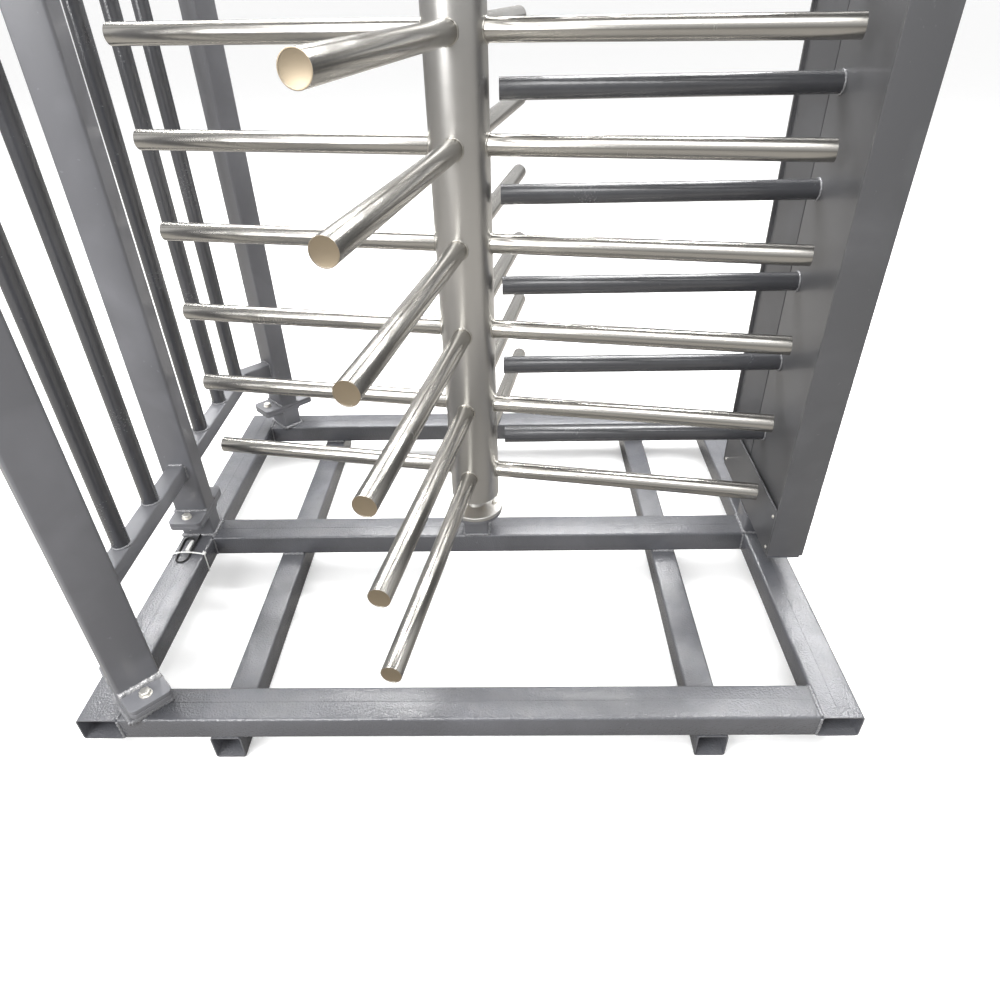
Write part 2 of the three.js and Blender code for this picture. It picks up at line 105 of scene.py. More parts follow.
def new_group(name, inputs, outputs):
    tree = bpy.data.node_groups.new(name, "ShaderNodeTree")
    for label, kind, value in inputs:
        socket = tree.interface.new_socket(label, in_out="INPUT", socket_type=kind)
        if value is not None:
            socket.default_value = value
    for label in outputs:
        tree.interface.new_socket(label, in_out="OUTPUT", socket_type="NodeSocketFloat")
    return tree, tree.nodes.new("NodeGroupInput").outputs, tree.nodes.new("NodeGroupOutput")


def use_group(tree, name, inputs):
    return put(tree, "Group", inputs, node_tree=bpy.data.node_groups[name]).outputs


VECTOR, FLOAT = "NodeSocketVector", "NodeSocketFloat"
print("shader helpers ready")

# %% [markdown]
# ## Shared effects
# Several finishes need the same effect, so each effect is a node group with one output.
# Powder coat has orange peel: low bumps a few millimetres across. It could be a displaced
# mesh, but the bumps are too fine for that, so a noise drives a Bump node.

# %% Orange peel
tree, given, result = new_group(
    "orange_peel", [("Vector", VECTOR, None), ("Scale", FLOAT, 260.0)], ["Height"]
)
coarse = put(tree, "TexNoise", {
    "Vector": given["Vector"], "Scale": given["Scale"], "Detail": 2.0, "Roughness": 0.55,
})
tree.links.new(coarse.outputs["Fac"], result.inputs["Height"])
print("effect: orange_peel")

# %% [markdown]
# Brushed metal has fine lines in one direction. They could be drawn one by one, but a noise
# that is stretched along the lines gives thousands of them, all different.

# %% Brushed grain
tree, given, result = new_group(
    "brushed_grain", [("Vector", VECTOR, None), ("Lines", FLOAT, 700.0)], ["Mask"]
)
spread = put(tree, "CombineXYZ", {"X": 5.0, "Y": given["Lines"], "Z": 5.0})
stretched = put(tree, "VectorMath", {0: given["Vector"], 1: spread.outputs[0]},
                operation="MULTIPLY")
lines = put(tree, "TexNoise", {"Vector": stretched.outputs[0], "Scale": 1.0, "Detail": 3.0})
tree.links.new(lines.outputs["Fac"], result.inputs["Mask"])
print("effect: brushed_grain")

# %% [markdown]
# Dust lies only where a surface faces up. The surface's normal gives that, and a coarse noise
# breaks the layer into patches.

# %% Settled dust
tree, given, result = new_group(
    "settled_dust", [("Vector", VECTOR, None), ("Amount", FLOAT, 0.3)], ["Mask"]
)
facing = put(tree, "SeparateXYZ", {0: put(tree, "NewGeometry").outputs["Normal"]})
upward = put(tree, "MapRange", {0: facing.outputs["Z"], 1: 0.5, 2: 1.0}, clamp=True)
cloud = put(tree, "TexNoise", {"Vector": given["Vector"], "Scale": 14.0, "Detail": 5.0})
patches = put(tree, "MapRange", {0: cloud.outputs["Fac"], 1: 0.38, 2: 0.7}, clamp=True)
lying = put(tree, "Math", {0: upward.outputs[0], 1: patches.outputs[0]}, operation="MULTIPLY")
amount = put(tree, "Math", {0: lying.outputs[0], 1: given["Amount"]}, operation="MULTIPLY")
tree.links.new(amount.outputs[0], result.inputs["Mask"])
print("effect: settled_dust")

# %% [markdown]
# Handling marks are soft blotches with a few sharp specks. The stronger of the two noises wins
# at each spot, so that a speck still shows inside a blotch.

# %% Handling marks
tree, given, result = new_group(
    "handling_marks", [("Vector", VECTOR, None), ("Amount", FLOAT, 0.5)], ["Mask"]
)
smear = put(tree, "TexNoise", {"Vector": given["Vector"], "Scale": 6.0, "Detail": 4.0,
                               "Distortion": 0.6})
speck = put(tree, "TexNoise", {"Vector": given["Vector"], "Scale": 90.0, "Detail": 2.0})
soft = put(tree, "MapRange", {0: smear.outputs["Fac"], 1: 0.45, 2: 0.75}, clamp=True)
sharp = put(tree, "MapRange", {0: speck.outputs["Fac"], 1: 0.72, 2: 0.76}, clamp=True)
both = put(tree, "Math", {0: soft.outputs[0], 1: sharp.outputs[0]}, operation="MAXIMUM")
scaled = put(tree, "Math", {0: both.outputs[0], 1: given["Amount"]}, operation="MULTIPLY")
tree.links.new(scaled.outputs[0], result.inputs["Mask"])
print("effect: handling_marks")

# %% [markdown]
# ## Paints
# The frame, posts, sheet and bars wear the same dark grey, but the tubes are glossier than the
# sheet. One function makes them all: a base colour lightened by marks and dust, roughness moved
# by marks, and orange peel as a bump. On the glossy tubes the peel also breaks up the roughness,
# so a gleam turns into bright specks. A thin clear coat lies on top and stays smooth.

# %% Painted finish


def mix_colour(tree, factor, low, high):
    made = put(tree, "Mix", {0: factor, 6: low, 7: high}, data_type="RGBA")
    return made.outputs[2]


def new_material(name):
    material = bpy.data.materials.new(name)
    material.use_nodes = True
    tree = material.node_tree
    tree.nodes.clear()
    shader = put(tree, "BsdfPrincipled")
    output = put(tree, "OutputMaterial")
    tree.links.new(shader.outputs["BSDF"], output.inputs["Surface"])
    return material, tree, shader


DUST_AMOUNT = 0.09
DUST_COLOUR = (0.32, 0.315, 0.30, 1)
MARK_LIGHTENS = 1.6
COAT_WEIGHT, COAT_ROUGHNESS = 0.12, 0.12


def painted(name, colour, roughness, shine, peel_scale, peel_depth, speckle=0.0):
    """Peel scale is in bumps per metre, its depth in metres; shine sets how strongly it mirrors."""
    material, tree, shader = new_material(name)
    place = put(tree, "TexCoord").outputs["Object"]
    dirt = use_group(tree, "settled_dust", {"Vector": place, "Amount": DUST_AMOUNT})["Mask"]
    marks = use_group(tree, "handling_marks", {"Vector": place, "Amount": 0.5})["Mask"]
    peel = use_group(tree, "orange_peel", {"Vector": place, "Scale": peel_scale})["Height"]
    dark = (*colour, 1)
    pale = (*[part * MARK_LIGHTENS for part in colour], 1)
    shade = mix_colour(tree, marks, dark, pale)
    tree.links.new(mix_colour(tree, dirt, shade, DUST_COLOUR), shader.inputs["Base Color"])
    rough = put(tree, "MapRange", {0: marks, 3: roughness, 4: roughness + 0.12}).outputs[0]
    broken = put(tree, "MapRange", {0: peel, 1: 0.35, 2: 0.65, 3: -speckle, 4: speckle})
    rough = put(tree, "Math", {0: rough, 1: broken.outputs[0]}, operation="ADD", use_clamp=True)
    tree.links.new(rough.outputs[0], shader.inputs["Roughness"])
    bump = put(tree, "Bump", {"Height": peel, "Distance": peel_depth, "Strength": 1.0})
    tree.links.new(bump.outputs["Normal"], shader.inputs["Normal"])
    shader.inputs["Specular IOR Level"].default_value = shine
    shader.inputs["Coat Weight"].default_value = COAT_WEIGHT
    shader.inputs["Coat Roughness"].default_value = COAT_ROUGHNESS
    return material


frame_paint = painted("frame_paint", (0.092, 0.094, 0.105), 0.12, 1.00, 250, 0.00150, 0.04)
post_paint = painted("post_paint", (0.146, 0.148, 0.161), 0.42, 0.60, 520, 0.00012)
sheet_paint = painted("sheet_paint", (0.080, 0.081, 0.086), 0.44, 0.60, 700, 0.00006)
bar_paint = painted("bar_paint", (0.052, 0.053, 0.059), 0.20, 0.90, 260, 0.00035, 0.04)
weld_paint = painted("weld_paint", (0.170, 0.172, 0.182), 0.24, 1.00, 300, 0.00110, 0.06)
print("paints:", [m.name for m in bpy.data.materials if m.name.endswith("_paint")])

# %% [markdown]
# ## Bare metals
# The rotor is satin stainless: polished on a belt while it turned, so the fine lines run round
# each tube. The UV map of a cylinder runs along the tube in V, which gives the lines their
# direction wherever the tube points. The column is ground with a coarser belt than the arms,
# so it mirrors less sharply. Bolts, bearing and bush are plain bright metal.

# %% Bare metal finish
SMUDGE_TONE = 0.72


def bare_metal(name, colour, roughness, lines, depth, marks_amount=0.10, coordinate="UV"):
    """The grain has this many lines over the UV map or a metre, and its depth is in metres."""
    material, tree, shader = new_material(name)
    place = put(tree, "TexCoord").outputs["Object"]
    along = put(tree, "TexCoord").outputs[coordinate]
    grain = use_group(tree, "brushed_grain", {"Vector": along, "Lines": lines})["Mask"]
    marks = use_group(tree, "handling_marks", {"Vector": place, "Amount": marks_amount})["Mask"]
    base = (*colour, 1)
    dull = (*[part * SMUDGE_TONE for part in colour], 1)
    tree.links.new(mix_colour(tree, marks, base, dull), shader.inputs["Base Color"])
    grained = put(tree, "MapRange", {0: grain, 1: 0.3, 2: 0.7, 3: roughness - 0.02,
                                     4: roughness + 0.04})
    smudged = put(tree, "Math", {0: marks, 1: 0.25, 2: grained.outputs[0]},
                  operation="MULTIPLY_ADD")
    tree.links.new(smudged.outputs[0], shader.inputs["Roughness"])
    bump = put(tree, "Bump", {"Height": grain, "Distance": depth, "Strength": 1.0})
    tree.links.new(bump.outputs["Normal"], shader.inputs["Normal"])
    shader.inputs["Metallic"].default_value = 1.0
    return material


arm_steel = bare_metal("arm_steel", (0.48, 0.465, 0.435), 0.22, 900, 0.000003)
rotor_steel = bare_metal("rotor_steel", (0.60, 0.59, 0.57), 0.33, 900, 0.000004)
cap_steel = bare_metal("cap_steel", (0.35, 0.29, 0.21), 0.38, 60, 0.000004)
turned_steel = bare_metal("turned_steel", (0.60, 0.59, 0.57), 0.50, 240, 0.000004)
weld_steel = bare_metal("weld_steel", (0.54, 0.52, 0.48), 0.28, 300, 0.000010, 0.3, "Object")
bolt_steel = bare_metal("bolt_steel", (0.86, 0.84, 0.79), 0.44, 300, 0.000006, 0.2, "Object")
bearing_steel = bare_metal("bearing_steel", (0.42, 0.43, 0.44), 0.30, 300, 0.000006, 0.4,
                           "Object")
bush_bronze = bare_metal("bush_bronze", (0.44, 0.38, 0.30), 0.58, 200, 0.000010, 0.5, "Object")
print("metals made")

# %% [markdown]
# ## Plastics
# The lead is soft black PVC with a slight gloss. Its connector and tie are white nylon, which
# could scatter light inside, but pieces this thin look the same without it. The bare silver
# bead on the front foot is paint that has burnt off: a mask makes the surface part metal.

# %% Plastics and the burnt weld


def plastic(name, colour, roughness):
    material, tree, shader = new_material(name)
    place = put(tree, "TexCoord").outputs["Object"]
    marks = use_group(tree, "handling_marks", {"Vector": place, "Amount": 0.6})["Mask"]
    worn = (*[part * 0.82 + 0.02 for part in colour], 1)
    tree.links.new(mix_colour(tree, marks, (*colour, 1), worn), shader.inputs["Base Color"])
    rough = put(tree, "MapRange", {0: marks, 3: roughness, 4: roughness + 0.15})
    tree.links.new(rough.outputs[0], shader.inputs["Roughness"])
    peel = use_group(tree, "orange_peel", {"Vector": place, "Scale": 900.0})["Height"]
    bump = put(tree, "Bump", {"Height": peel, "Distance": 0.00003, "Strength": 1.0})
    tree.links.new(bump.outputs["Normal"], shader.inputs["Normal"])
    return material


black_pvc = plastic("black_pvc", (0.014, 0.014, 0.015), 0.32)
white_nylon = plastic("white_nylon", (0.86, 0.86, 0.84), 0.40)

burnt_weld, tree, shader = new_material("burnt_weld")
place = put(tree, "TexCoord").outputs["Object"]
marks = use_group(tree, "handling_marks", {"Vector": place, "Amount": 1.0})["Mask"]
lumps = use_group(tree, "orange_peel", {"Vector": place, "Scale": 380.0})["Height"]
bare = put(tree, "MapRange", {0: lumps, 1: 0.49, 2: 0.60}, clamp=True).outputs[0]
shade = mix_colour(tree, bare, (0.32, 0.32, 0.33, 1), (0.72, 0.71, 0.70, 1))
tree.links.new(shade, shader.inputs["Base Color"])
tree.links.new(bare, shader.inputs["Metallic"])
tree.links.new(put(tree, "MapRange", {0: marks, 3: 0.25, 4: 0.45}).outputs[0],
               shader.inputs["Roughness"])
bump = put(tree, "Bump", {"Height": lumps, "Distance": 0.0006, "Strength": 1.0})
tree.links.new(bump.outputs["Normal"], shader.inputs["Normal"])
print("plastics and burnt weld made")

# %% [markdown]
# ## Modelling helpers
# Everything is modelled with Blender's own tools. An operator works on what is selected, so
# `alone` clears the selection first, and `pick` then chooses faces or edges by a test on their
# place or direction. `settle` applies the object's place to its mesh.

# %% Selection helpers


def alone(piece):
    bpy.ops.object.select_all(action="DESELECT")
    piece.select_set(True)
    bpy.context.view_layer.objects.active = piece


def open_edit(piece, mode="FACE"):
    alone(piece)
    bpy.ops.object.mode_set(mode="EDIT")
    bpy.ops.mesh.select_mode(type=mode)


def pick(test, kind="faces"):
    """Select the faces or edges for which the test holds, and nothing else."""
    shape = bmesh.from_edit_mesh(bpy.context.object.data)
    for part in (*shape.faces, *shape.edges, *shape.verts):
        part.select = False
    found = [part for part in getattr(shape, kind) if test(part)]
    for part in found:
        part.select_set(True)
    bmesh.update_edit_mesh(bpy.context.object.data)
    return len(found)


def close_edit():
    bpy.ops.object.mode_set(mode="OBJECT")


def settle(piece):
    alone(piece)
    bpy.ops.object.transform_apply(location=True, rotation=True, scale=True)
    return piece


def runs_along(axis):
    axis = Vector(axis)
    return lambda edge: abs(
        (edge.verts[1].co - edge.verts[0].co).normalized().dot(axis)) > 0.99


ALONG_X, ALONG_Y, ALONG_Z = (1, 0, 0), (0, 1, 0), (0, 0, 1)
print("selection helpers ready")

# %% [markdown]
# A modifier could stay live, but an applied one gives the same mesh everywhere. A small bevel
# on every sharp edge catches the light as a real edge does, and shading is smoothed only
# where faces meet at a shallow angle.

# %% Finishing helpers


def apply_modifier(piece, kind, **settings):
    alone(piece)
    modifier = piece.modifiers.new(kind.lower(), kind)
    for name, value in settings.items():
        setattr(modifier, name, value)
    bpy.ops.object.modifier_apply(modifier=modifier.name)
    return piece


def soften(piece, width=0.0006, segments=2, angle=45):
    apply_modifier(piece, "BEVEL", width=width, segments=segments, limit_method="ANGLE",
                   angle_limit=math.radians(angle), use_clamp_overlap=True)
    alone(piece)
    bpy.ops.object.shade_smooth_by_angle(angle=math.radians(35))
    return piece


def join(pieces):
    bpy.ops.object.select_all(action="DESELECT")
    for piece in pieces:
        piece.select_set(True)
    bpy.context.view_layer.objects.active = pieces[0]
    if len(pieces) > 1:
        bpy.ops.object.join()
    return pieces[0]


def copy_of(piece, matrix=Matrix.Identity(4)):
    twin = piece.copy()
    twin.data = piece.data.copy()
    twin.data.transform(matrix)
    bpy.context.scene.collection.objects.link(twin)
    return twin


def discard(*pieces):
    for piece in pieces:
        bpy.data.objects.remove(piece)


def keep(piece, name, material, body="frame", stands_for=()):
    """Name a finished piece, give it its material and tell the frame what it stands for."""
    piece.name = piece.data.name = name
    if material:
        piece.data.materials.clear()
        piece.data.materials.append(material)
    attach(piece, body)
    if stands_for:
        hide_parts(*stands_for)
    return piece


print("finishing helpers ready")

# %% [markdown]
# Three starting shapes serve for most pieces: a block with rounded long edges, a rod between
# two points, and a turned piece. Each is a primitive that is shaped further in its own cell.

# %% Starting shapes


def block(low, high, corner=0.0, axis=ALONG_Z, segments=5):
    low, high = Vector(low), Vector(high)
    bpy.ops.object.select_all(action="DESELECT")
    bpy.ops.mesh.primitive_cube_add(size=1, location=(low + high) / 2, scale=high - low)
    piece = settle(bpy.context.object)
    if corner:
        open_edit(piece, "EDGE")
        pick(runs_along(axis), "edges")
        bpy.ops.mesh.bevel(offset=corner, segments=segments, affect="EDGES")
        close_edit()
    return piece


def rod(start, end, radius, sides=48):
    start, end = Vector(start), Vector(end)
    turn = (end - start).to_track_quat("Z", "Y").to_euler()
    bpy.ops.object.select_all(action="DESELECT")
    bpy.ops.mesh.primitive_cylinder_add(
        vertices=sides, radius=radius, depth=(end - start).length,
        location=(start + end) / 2, rotation=turn)
    return settle(bpy.context.object)


def lathe(profile, sides=64):
    """A round piece about Z from (radius, height) steps: each step extrudes the top face."""
    (r0, z0), (r1, z1) = profile[:2]
    bpy.ops.object.select_all(action="DESELECT")
    bpy.ops.mesh.primitive_cone_add(
        vertices=sides, radius1=r0, radius2=r1, depth=z1 - z0, location=(0, 0, (z0 + z1) / 2))
    piece = settle(bpy.context.object)
    open_edit(piece)
    pick(lambda face: face.normal.z > 0.99 and face.calc_center_median().z > z1 - 1e-6)
    last_r, last_z = r1, z1
    for r, z in profile[2:]:
        bpy.ops.mesh.extrude_region_move(TRANSFORM_OT_translate={"value": (0, 0, z - last_z)})
        if abs(r - last_r) > 1e-9:
            bpy.ops.transform.resize(value=(r / last_r, r / last_r, 1),
                                     center_override=(0, 0, z))
        last_r, last_z = r, z
    close_edit()
    return piece


print("starting shapes ready")

# %% [markdown]
# ## Sensor lead
# A thin black lead leaves the middle foot, runs forward on the base rail, turns back in a
# narrow loop and ends in a small white connector. It could be a swept mesh, but a curve with a
# round bevel keeps its exact length. The route is smoothed by passing a spline through it.

# %% Lead route
LEAD_RADIUS = 0.0024
LEAD_HEIGHT = 0.1177
LEAD_TURNS = [
    (-704, -28.2), (-704, -45), (-704, -75), (-704, -105), (-704.5, -122), (-706.3, -128.8),
    (-711.3, -133.7), (-718, -135.5), (-724.8, -133.7), (-729.7, -128.8), (-731.5, -122),
    (-733, -108), (-735, -85), (-736.4, -64), (-736.5, -54), (-735, -48.5), (-731, -44.5),
    (-725.5, -43), (-720, -44.5), (-716, -48.5), (-714.5, -54), (-714.5, -56.1),
]
lead_points = [Vector((x * MM, y * MM, LEAD_HEIGHT)) for x, y in LEAD_TURNS]


def between(points, steps):
    ends = [2 * points[0] - points[1], *points, 2 * points[-1] - points[-2]]
    route = []
    for before, here, there, after in zip(ends, ends[1:], ends[2:], ends[3:]):
        for step in range(steps):
            t = step / steps
            route.append(0.5 * (
                2 * here + (there - before) * t
                + (2 * before - 5 * here + 4 * there - after) * t * t
                + (3 * here - before - 3 * there + after) * t * t * t))
    return [*route, points[-1]]


lead_line = between(lead_points, 2)[:40] + [lead_points[-1]]

# %% [markdown]
# The route becomes a poly curve. Its round bevel is the lead's thickness, and its ends are
# closed.

# %% Lead curve
lead_curve = bpy.data.curves.new("sensor_lead_curve", "CURVE")
lead_curve.dimensions = "3D"
lead_curve.bevel_depth = LEAD_RADIUS
lead_curve.bevel_resolution = 5
lead_curve.use_fill_caps = True
spline = lead_curve.splines.new("POLY")
spline.points.add(len(lead_line) - 1)
for point, place in zip(spline.points, lead_line):
    point.co = (*place, 1)
spline.use_smooth = True
lead = bpy.data.objects.new("lead", lead_curve)
bpy.context.scene.collection.objects.link(lead)
lead.data.materials.append(black_pvc)
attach(lead, "frame")
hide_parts("sensor_lead")
print("lead thickness", 2 * LEAD_RADIUS, "m")

# %% [markdown]
# The connector is a small moulded block: a body, a collar at the lead's end and two ribs for
# grip. A latch lies on top. The blocks are bevelled and joined.

# %% Lead connector
low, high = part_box("lead_connector")
body_part = block(low, high - Vector((0, 0.006, 0)), 0.0012, ALONG_Y, 3)
collar = block(low + Vector((0.001, 0.0316, 0.0006)), high - Vector((0.001, 0, 0.0006)),
               0.0008, ALONG_Y, 2)
ribs = [
    block((low.x + 0.0012, low.y + y, high.z - 0.001),
          (high.x - 0.0012, low.y + y + 0.0012, high.z + 0.0004))
    for y in (0.006, 0.009)
]
latch = block((low.x + 0.003, low.y + 0.014, high.z - 0.001),
              (high.x - 0.003, low.y + 0.026, high.z + 0.0006), 0.0004, ALONG_Z, 2)
connector = soften(join([body_part, collar, latch, *ribs]), 0.0003)
keep(connector, "connector", white_nylon, "frame", ["lead_connector"])
print("connector:", len(connector.data.polygons), "faces")

# %% [markdown]
# The cable tie is a thin nylon band pulled round the rail and arched over the lead. A ring of
# points is moved onto the rail's outline, extruded to the band's width and given a wall.

# %% Cable tie
low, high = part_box("cable_tie")
rail_low, rail_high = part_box("base_rail_left")
TIE_WALL = 0.0012
middle_y = (low.y + high.y) / 2


def tie_outline(steps=14):
    left, bottom = low.x + TIE_WALL, low.z + TIE_WALL
    right, top = rail_high.x + 0.0003, rail_high.z + 0.0003
    crest = high.z - TIE_WALL - top
    sides = [(right, bottom), (right, (bottom + top) / 2), (right, top - 0.001)]
    arch = [
        (right + (left - right) * i / steps,
         top + crest * math.sin(math.pi * (i / steps) ** 1.25) ** 0.8)
        for i in range(1, steps)
    ]
    return [*sides, *arch, (left, top - 0.001), (left, (bottom + top) / 2), (left, bottom)]


outline = tie_outline()
bpy.ops.object.select_all(action="DESELECT")
bpy.ops.mesh.primitive_circle_add(vertices=len(outline), radius=0.03)
tie = settle(bpy.context.object)
for vertex, (x, z) in zip(tie.data.vertices, outline):
    vertex.co = (x, middle_y - 0.00225, z)
open_edit(tie, "EDGE")
pick(lambda edge: True, "edges")
bpy.ops.mesh.extrude_region_move(TRANSFORM_OT_translate={"value": (0, 0.0045, 0)})
bpy.ops.mesh.select_all(action="SELECT")
bpy.ops.mesh.normals_make_consistent(inside=False)
close_edit()
apply_modifier(tie, "SOLIDIFY", thickness=TIE_WALL, offset=0)
lock = block((rail_high.x - 0.004, middle_y - 0.0035, rail_high.z + 0.0004),
             (rail_high.x + 0.0045, middle_y + 0.0035, rail_high.z + 0.0052), 0.001, ALONG_Y, 3)
tail = block((rail_high.x - 0.0005, middle_y - 0.0016, rail_high.z + 0.003),
             (rail_high.x + 0.001, middle_y + 0.0016, rail_high.z + 0.0105), 0.0005, ALONG_Z, 2)
tie = soften(join([tie, lock, tail]), 0.0003)
keep(tie, "tie", white_nylon, "frame", ["cable_tie"])
print("cable tie:", len(tie.data.polygons), "faces")

# %% [markdown]
# ## Base frame
# The base is rectangular tube with rounded corners and sawn, open ends. A plain box would show
# no wall, so the box's long edges are bevelled, its ends are opened, and Solidify gives it the
# 3 mm wall. The mill's own seam runs along the rails and cross members as a low flat ridge.

# %% Hollow tubes
TUBE_WALL = 0.003
TUBE_CORNER = 0.006
SEAM_WIDTH = 0.0045
SEAM_HEIGHT = 0.0005


def hollow_tube(node, axis, seam_at=None):
    low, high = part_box(node)
    tube = block(low, high, TUBE_CORNER, axis, 4)
    open_edit(tube)
    pick(lambda face: abs(face.normal.dot(Vector(axis))) > 0.99)
    bpy.ops.mesh.delete(type="ONLY_FACE")
    close_edit()
    apply_modifier(tube, "SOLIDIFY", thickness=TUBE_WALL, offset=-1, use_even_offset=True)
    soften(tube, 0.0005, 2)
    if seam_at is None:
        return tube
    across = 0 if axis == ALONG_Y else 1
    start, end = Vector(low), Vector(high)
    line = low[across] + (high[across] - low[across]) * seam_at
    start[across], end[across] = line - SEAM_WIDTH / 2, line + SEAM_WIDTH / 2
    start.z, end.z = high.z - 0.001, high.z + SEAM_HEIGHT
    return join([tube, soften(block(start, end), 0.0003)])


BASE_TUBES = {
    "base_rail_left": (ALONG_Y, 0.52), "base_rail_right": (ALONG_Y, 0.45),
    "base_cross_front": (ALONG_X, 0.56), "base_cross_middle": (ALONG_X, 0.5),
    "base_cross_rear": (ALONG_X, 0.5), "skid_left": (ALONG_Y, None),
    "skid_right": (ALONG_Y, None),
}
for node, (axis, seam_at) in BASE_TUBES.items():
    tube = hollow_tube(node, axis, seam_at)
    keep(tube, "tube_" + node.removeprefix("base_"), frame_paint, "frame", [node])
print("base tubes:", len(BASE_TUBES))

# %% [markdown]
# ## Weld beads
# A hand-laid bead is a row of overlapping ripples. Modelling each drop would cost thousands of
# faces, so one thin rod is cut into short rings and a cloud texture pushes them in and out.
# The same is done to a ring. Every weld below is a copy laid along its joint.

# %% Straight and round beads
BEAD = 0.0036
lumpy = bpy.data.textures.new("weld_lumps", "CLOUDS")
lumpy.noise_scale = 0.0055
lumpy.noise_depth = 2
bead_masters = {}


def bead_master(length, radius):
    key = (round(length, 3), round(radius, 4))
    if key not in bead_masters:
        rings = max(4, round(key[0] / 0.003))
        bar = rod((0, 0, 0), (0, 0, key[0]), key[1], 10)
        open_edit(bar, "EDGE")
        pick(runs_along(ALONG_Z), "edges")
        bpy.ops.mesh.subdivide(number_cuts=rings)
        close_edit()
        apply_modifier(bar, "DISPLACE", texture=lumpy, strength=key[1] * 1.5, mid_level=0.5)
        alone(bar)
        bpy.ops.object.shade_smooth()
        bar.name = f"bead_master_{len(bead_masters)}"
        bead_masters[key] = bar
    return bead_masters[key]


def bead(start, end, radius=BEAD):
    start, end = Vector(start), Vector(end)
    run = end - start
    spin = Matrix.Rotation(start.x * 40 + start.y * 70 + start.z * 90, 4, "Z")
    turn = run.to_track_quat("Z", "Y").to_matrix().to_4x4()
    return copy_of(bead_master(run.length, radius), Matrix.Translation(start) @ turn @ spin)


def bead_ring(radius, thickness):
    bpy.ops.object.select_all(action="DESELECT")
    bpy.ops.mesh.primitive_torus_add(
        major_radius=radius, minor_radius=thickness, major_segments=56, minor_segments=8)
    ring = settle(bpy.context.object)
    apply_modifier(ring, "DISPLACE", texture=lumpy, strength=thickness * 1.4, mid_level=0.5)
    alone(ring)
    bpy.ops.object.shade_smooth()
    return ring


def rectangle_beads(low, high, z, matrix=Matrix.Identity(4), radius=BEAD, sides="SNWE"):
    """Beads round an upright tube's foot: S faces -Y, N +Y, W -X and E +X."""
    corner = {
        "S": ((low[0], low[1]), (high[0], low[1])),
        "N": ((high[0], high[1]), (low[0], high[1])),
        "W": ((low[0], high[1]), (low[0], low[1])),
        "E": ((high[0], low[1]), (high[0], high[1])),
    }
    ends = [corner[side] for side in sides]
    return [bead(matrix @ Vector((*a, z)), matrix @ Vector((*b, z)), radius) for a, b in ends]


print("bead masters ready")

# %% [markdown]
# The cross members butt against the rails, and the skids lie under them. A bead runs over the
# top and down both faces of each butt joint. Where a cross member lies on a skid, a bead runs
# across the skid at each of the member's faces.

# %% Base welds
BEAD_INSET = 0.004
FACE_BEAD, SKID_BEAD = 0.0030, 0.003
beads = []
for name in ("front", "middle", "rear"):
    low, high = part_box(f"base_cross_{name}")
    for x in (low.x, high.x):
        seam_z = high.z - 0.001
        beads.append(bead((x, low.y + BEAD_INSET, seam_z), (x, high.y - BEAD_INSET, seam_z)))
        for y in (low.y + 0.0008, high.y - 0.0008):
            beads.append(bead((x, y, low.z + BEAD_INSET), (x, y, high.z - BEAD_INSET), FACE_BEAD))
    for side in ("left", "right"):
        skid_low, skid_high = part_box(f"skid_{side}")
        for y in (low.y, high.y):
            if abs(y) < skid_high.y - 0.01:
                beads.append(bead((skid_low.x + BEAD_INSET, y, skid_high.z + 0.001),
                                  (skid_high.x - BEAD_INSET, y, skid_high.z + 0.001), SKID_BEAD))
keep(join(beads), "base_welds", weld_paint)
print("base welds:", len(beads))

# %% [markdown]
# ## Feet and posts
# Each post ends in a plate that is bolted to an equal plate on a short stub, so the barrier
# can come off for transport. The plate starts as a block, its corners are rounded in plan, and
# its rim is softened. The corner posts stand turned by 45 degrees.

# %% Foot plates and posts
POST = Vector((0.080, 0.055))
PLATE = Vector((0.080, 0.160, 0.010))
PLATE_CORNER = 0.012
FOOT_TURN = {"front": math.radians(45), "middle": 0.0, "rear": math.radians(-45)}


def foot_plate(bottom):
    half = PLATE / 2
    plate = block((-half.x, -half.y, bottom), (half.x, half.y, bottom + PLATE.z),
                  PLATE_CORNER, ALONG_Z, 6)
    return soften(plate, 0.0011, 3)


def post_tube(bottom, top):
    half = POST / 2
    tube = block((-half.x, -half.y, bottom), (half.x, half.y, top), TUBE_CORNER, ALONG_Z, 5)
    return soften(tube, 0.0005)


stub_low, stub_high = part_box("foot_stub_middle")
post_low, post_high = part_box("barrier_post_middle")
plate_low = stub_high.z - PLATE.z
post_foot = post_low.z + PLATE.z
stub_master = join([post_tube(stub_low.z, plate_low + 0.001), foot_plate(plate_low)])
post_master = join([post_tube(post_foot - 0.001, post_high.z), foot_plate(post_low.z)])

foot_place = {}
for place, turn in FOOT_TURN.items():
    low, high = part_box(f"foot_stub_{place}")
    centre = (low + high) / 2
    foot_place[place] = Matrix.Translation((centre.x, centre.y, 0)) @ Matrix.Rotation(turn, 4, "Z")
    keep(copy_of(stub_master, foot_place[place]), f"stub_{place}", post_paint,
         "frame", [f"foot_stub_{place}"])
    keep(copy_of(post_master, foot_place[place]), f"post_{place}", post_paint,
         "frame", [f"barrier_post_{place}"])
discard(stub_master, post_master)
print("feet at", [tuple(round(c, 3) for c in m.translation[:2]) for m in foot_place.values()])

# %% [markdown]
# Posts and stubs are welded to their plates on two sides, and the stubs to the base all round.
# The front post's weld is wide, and its paint has burnt off. The middle stub has no bead on
# its outer side, because the rail ends there.

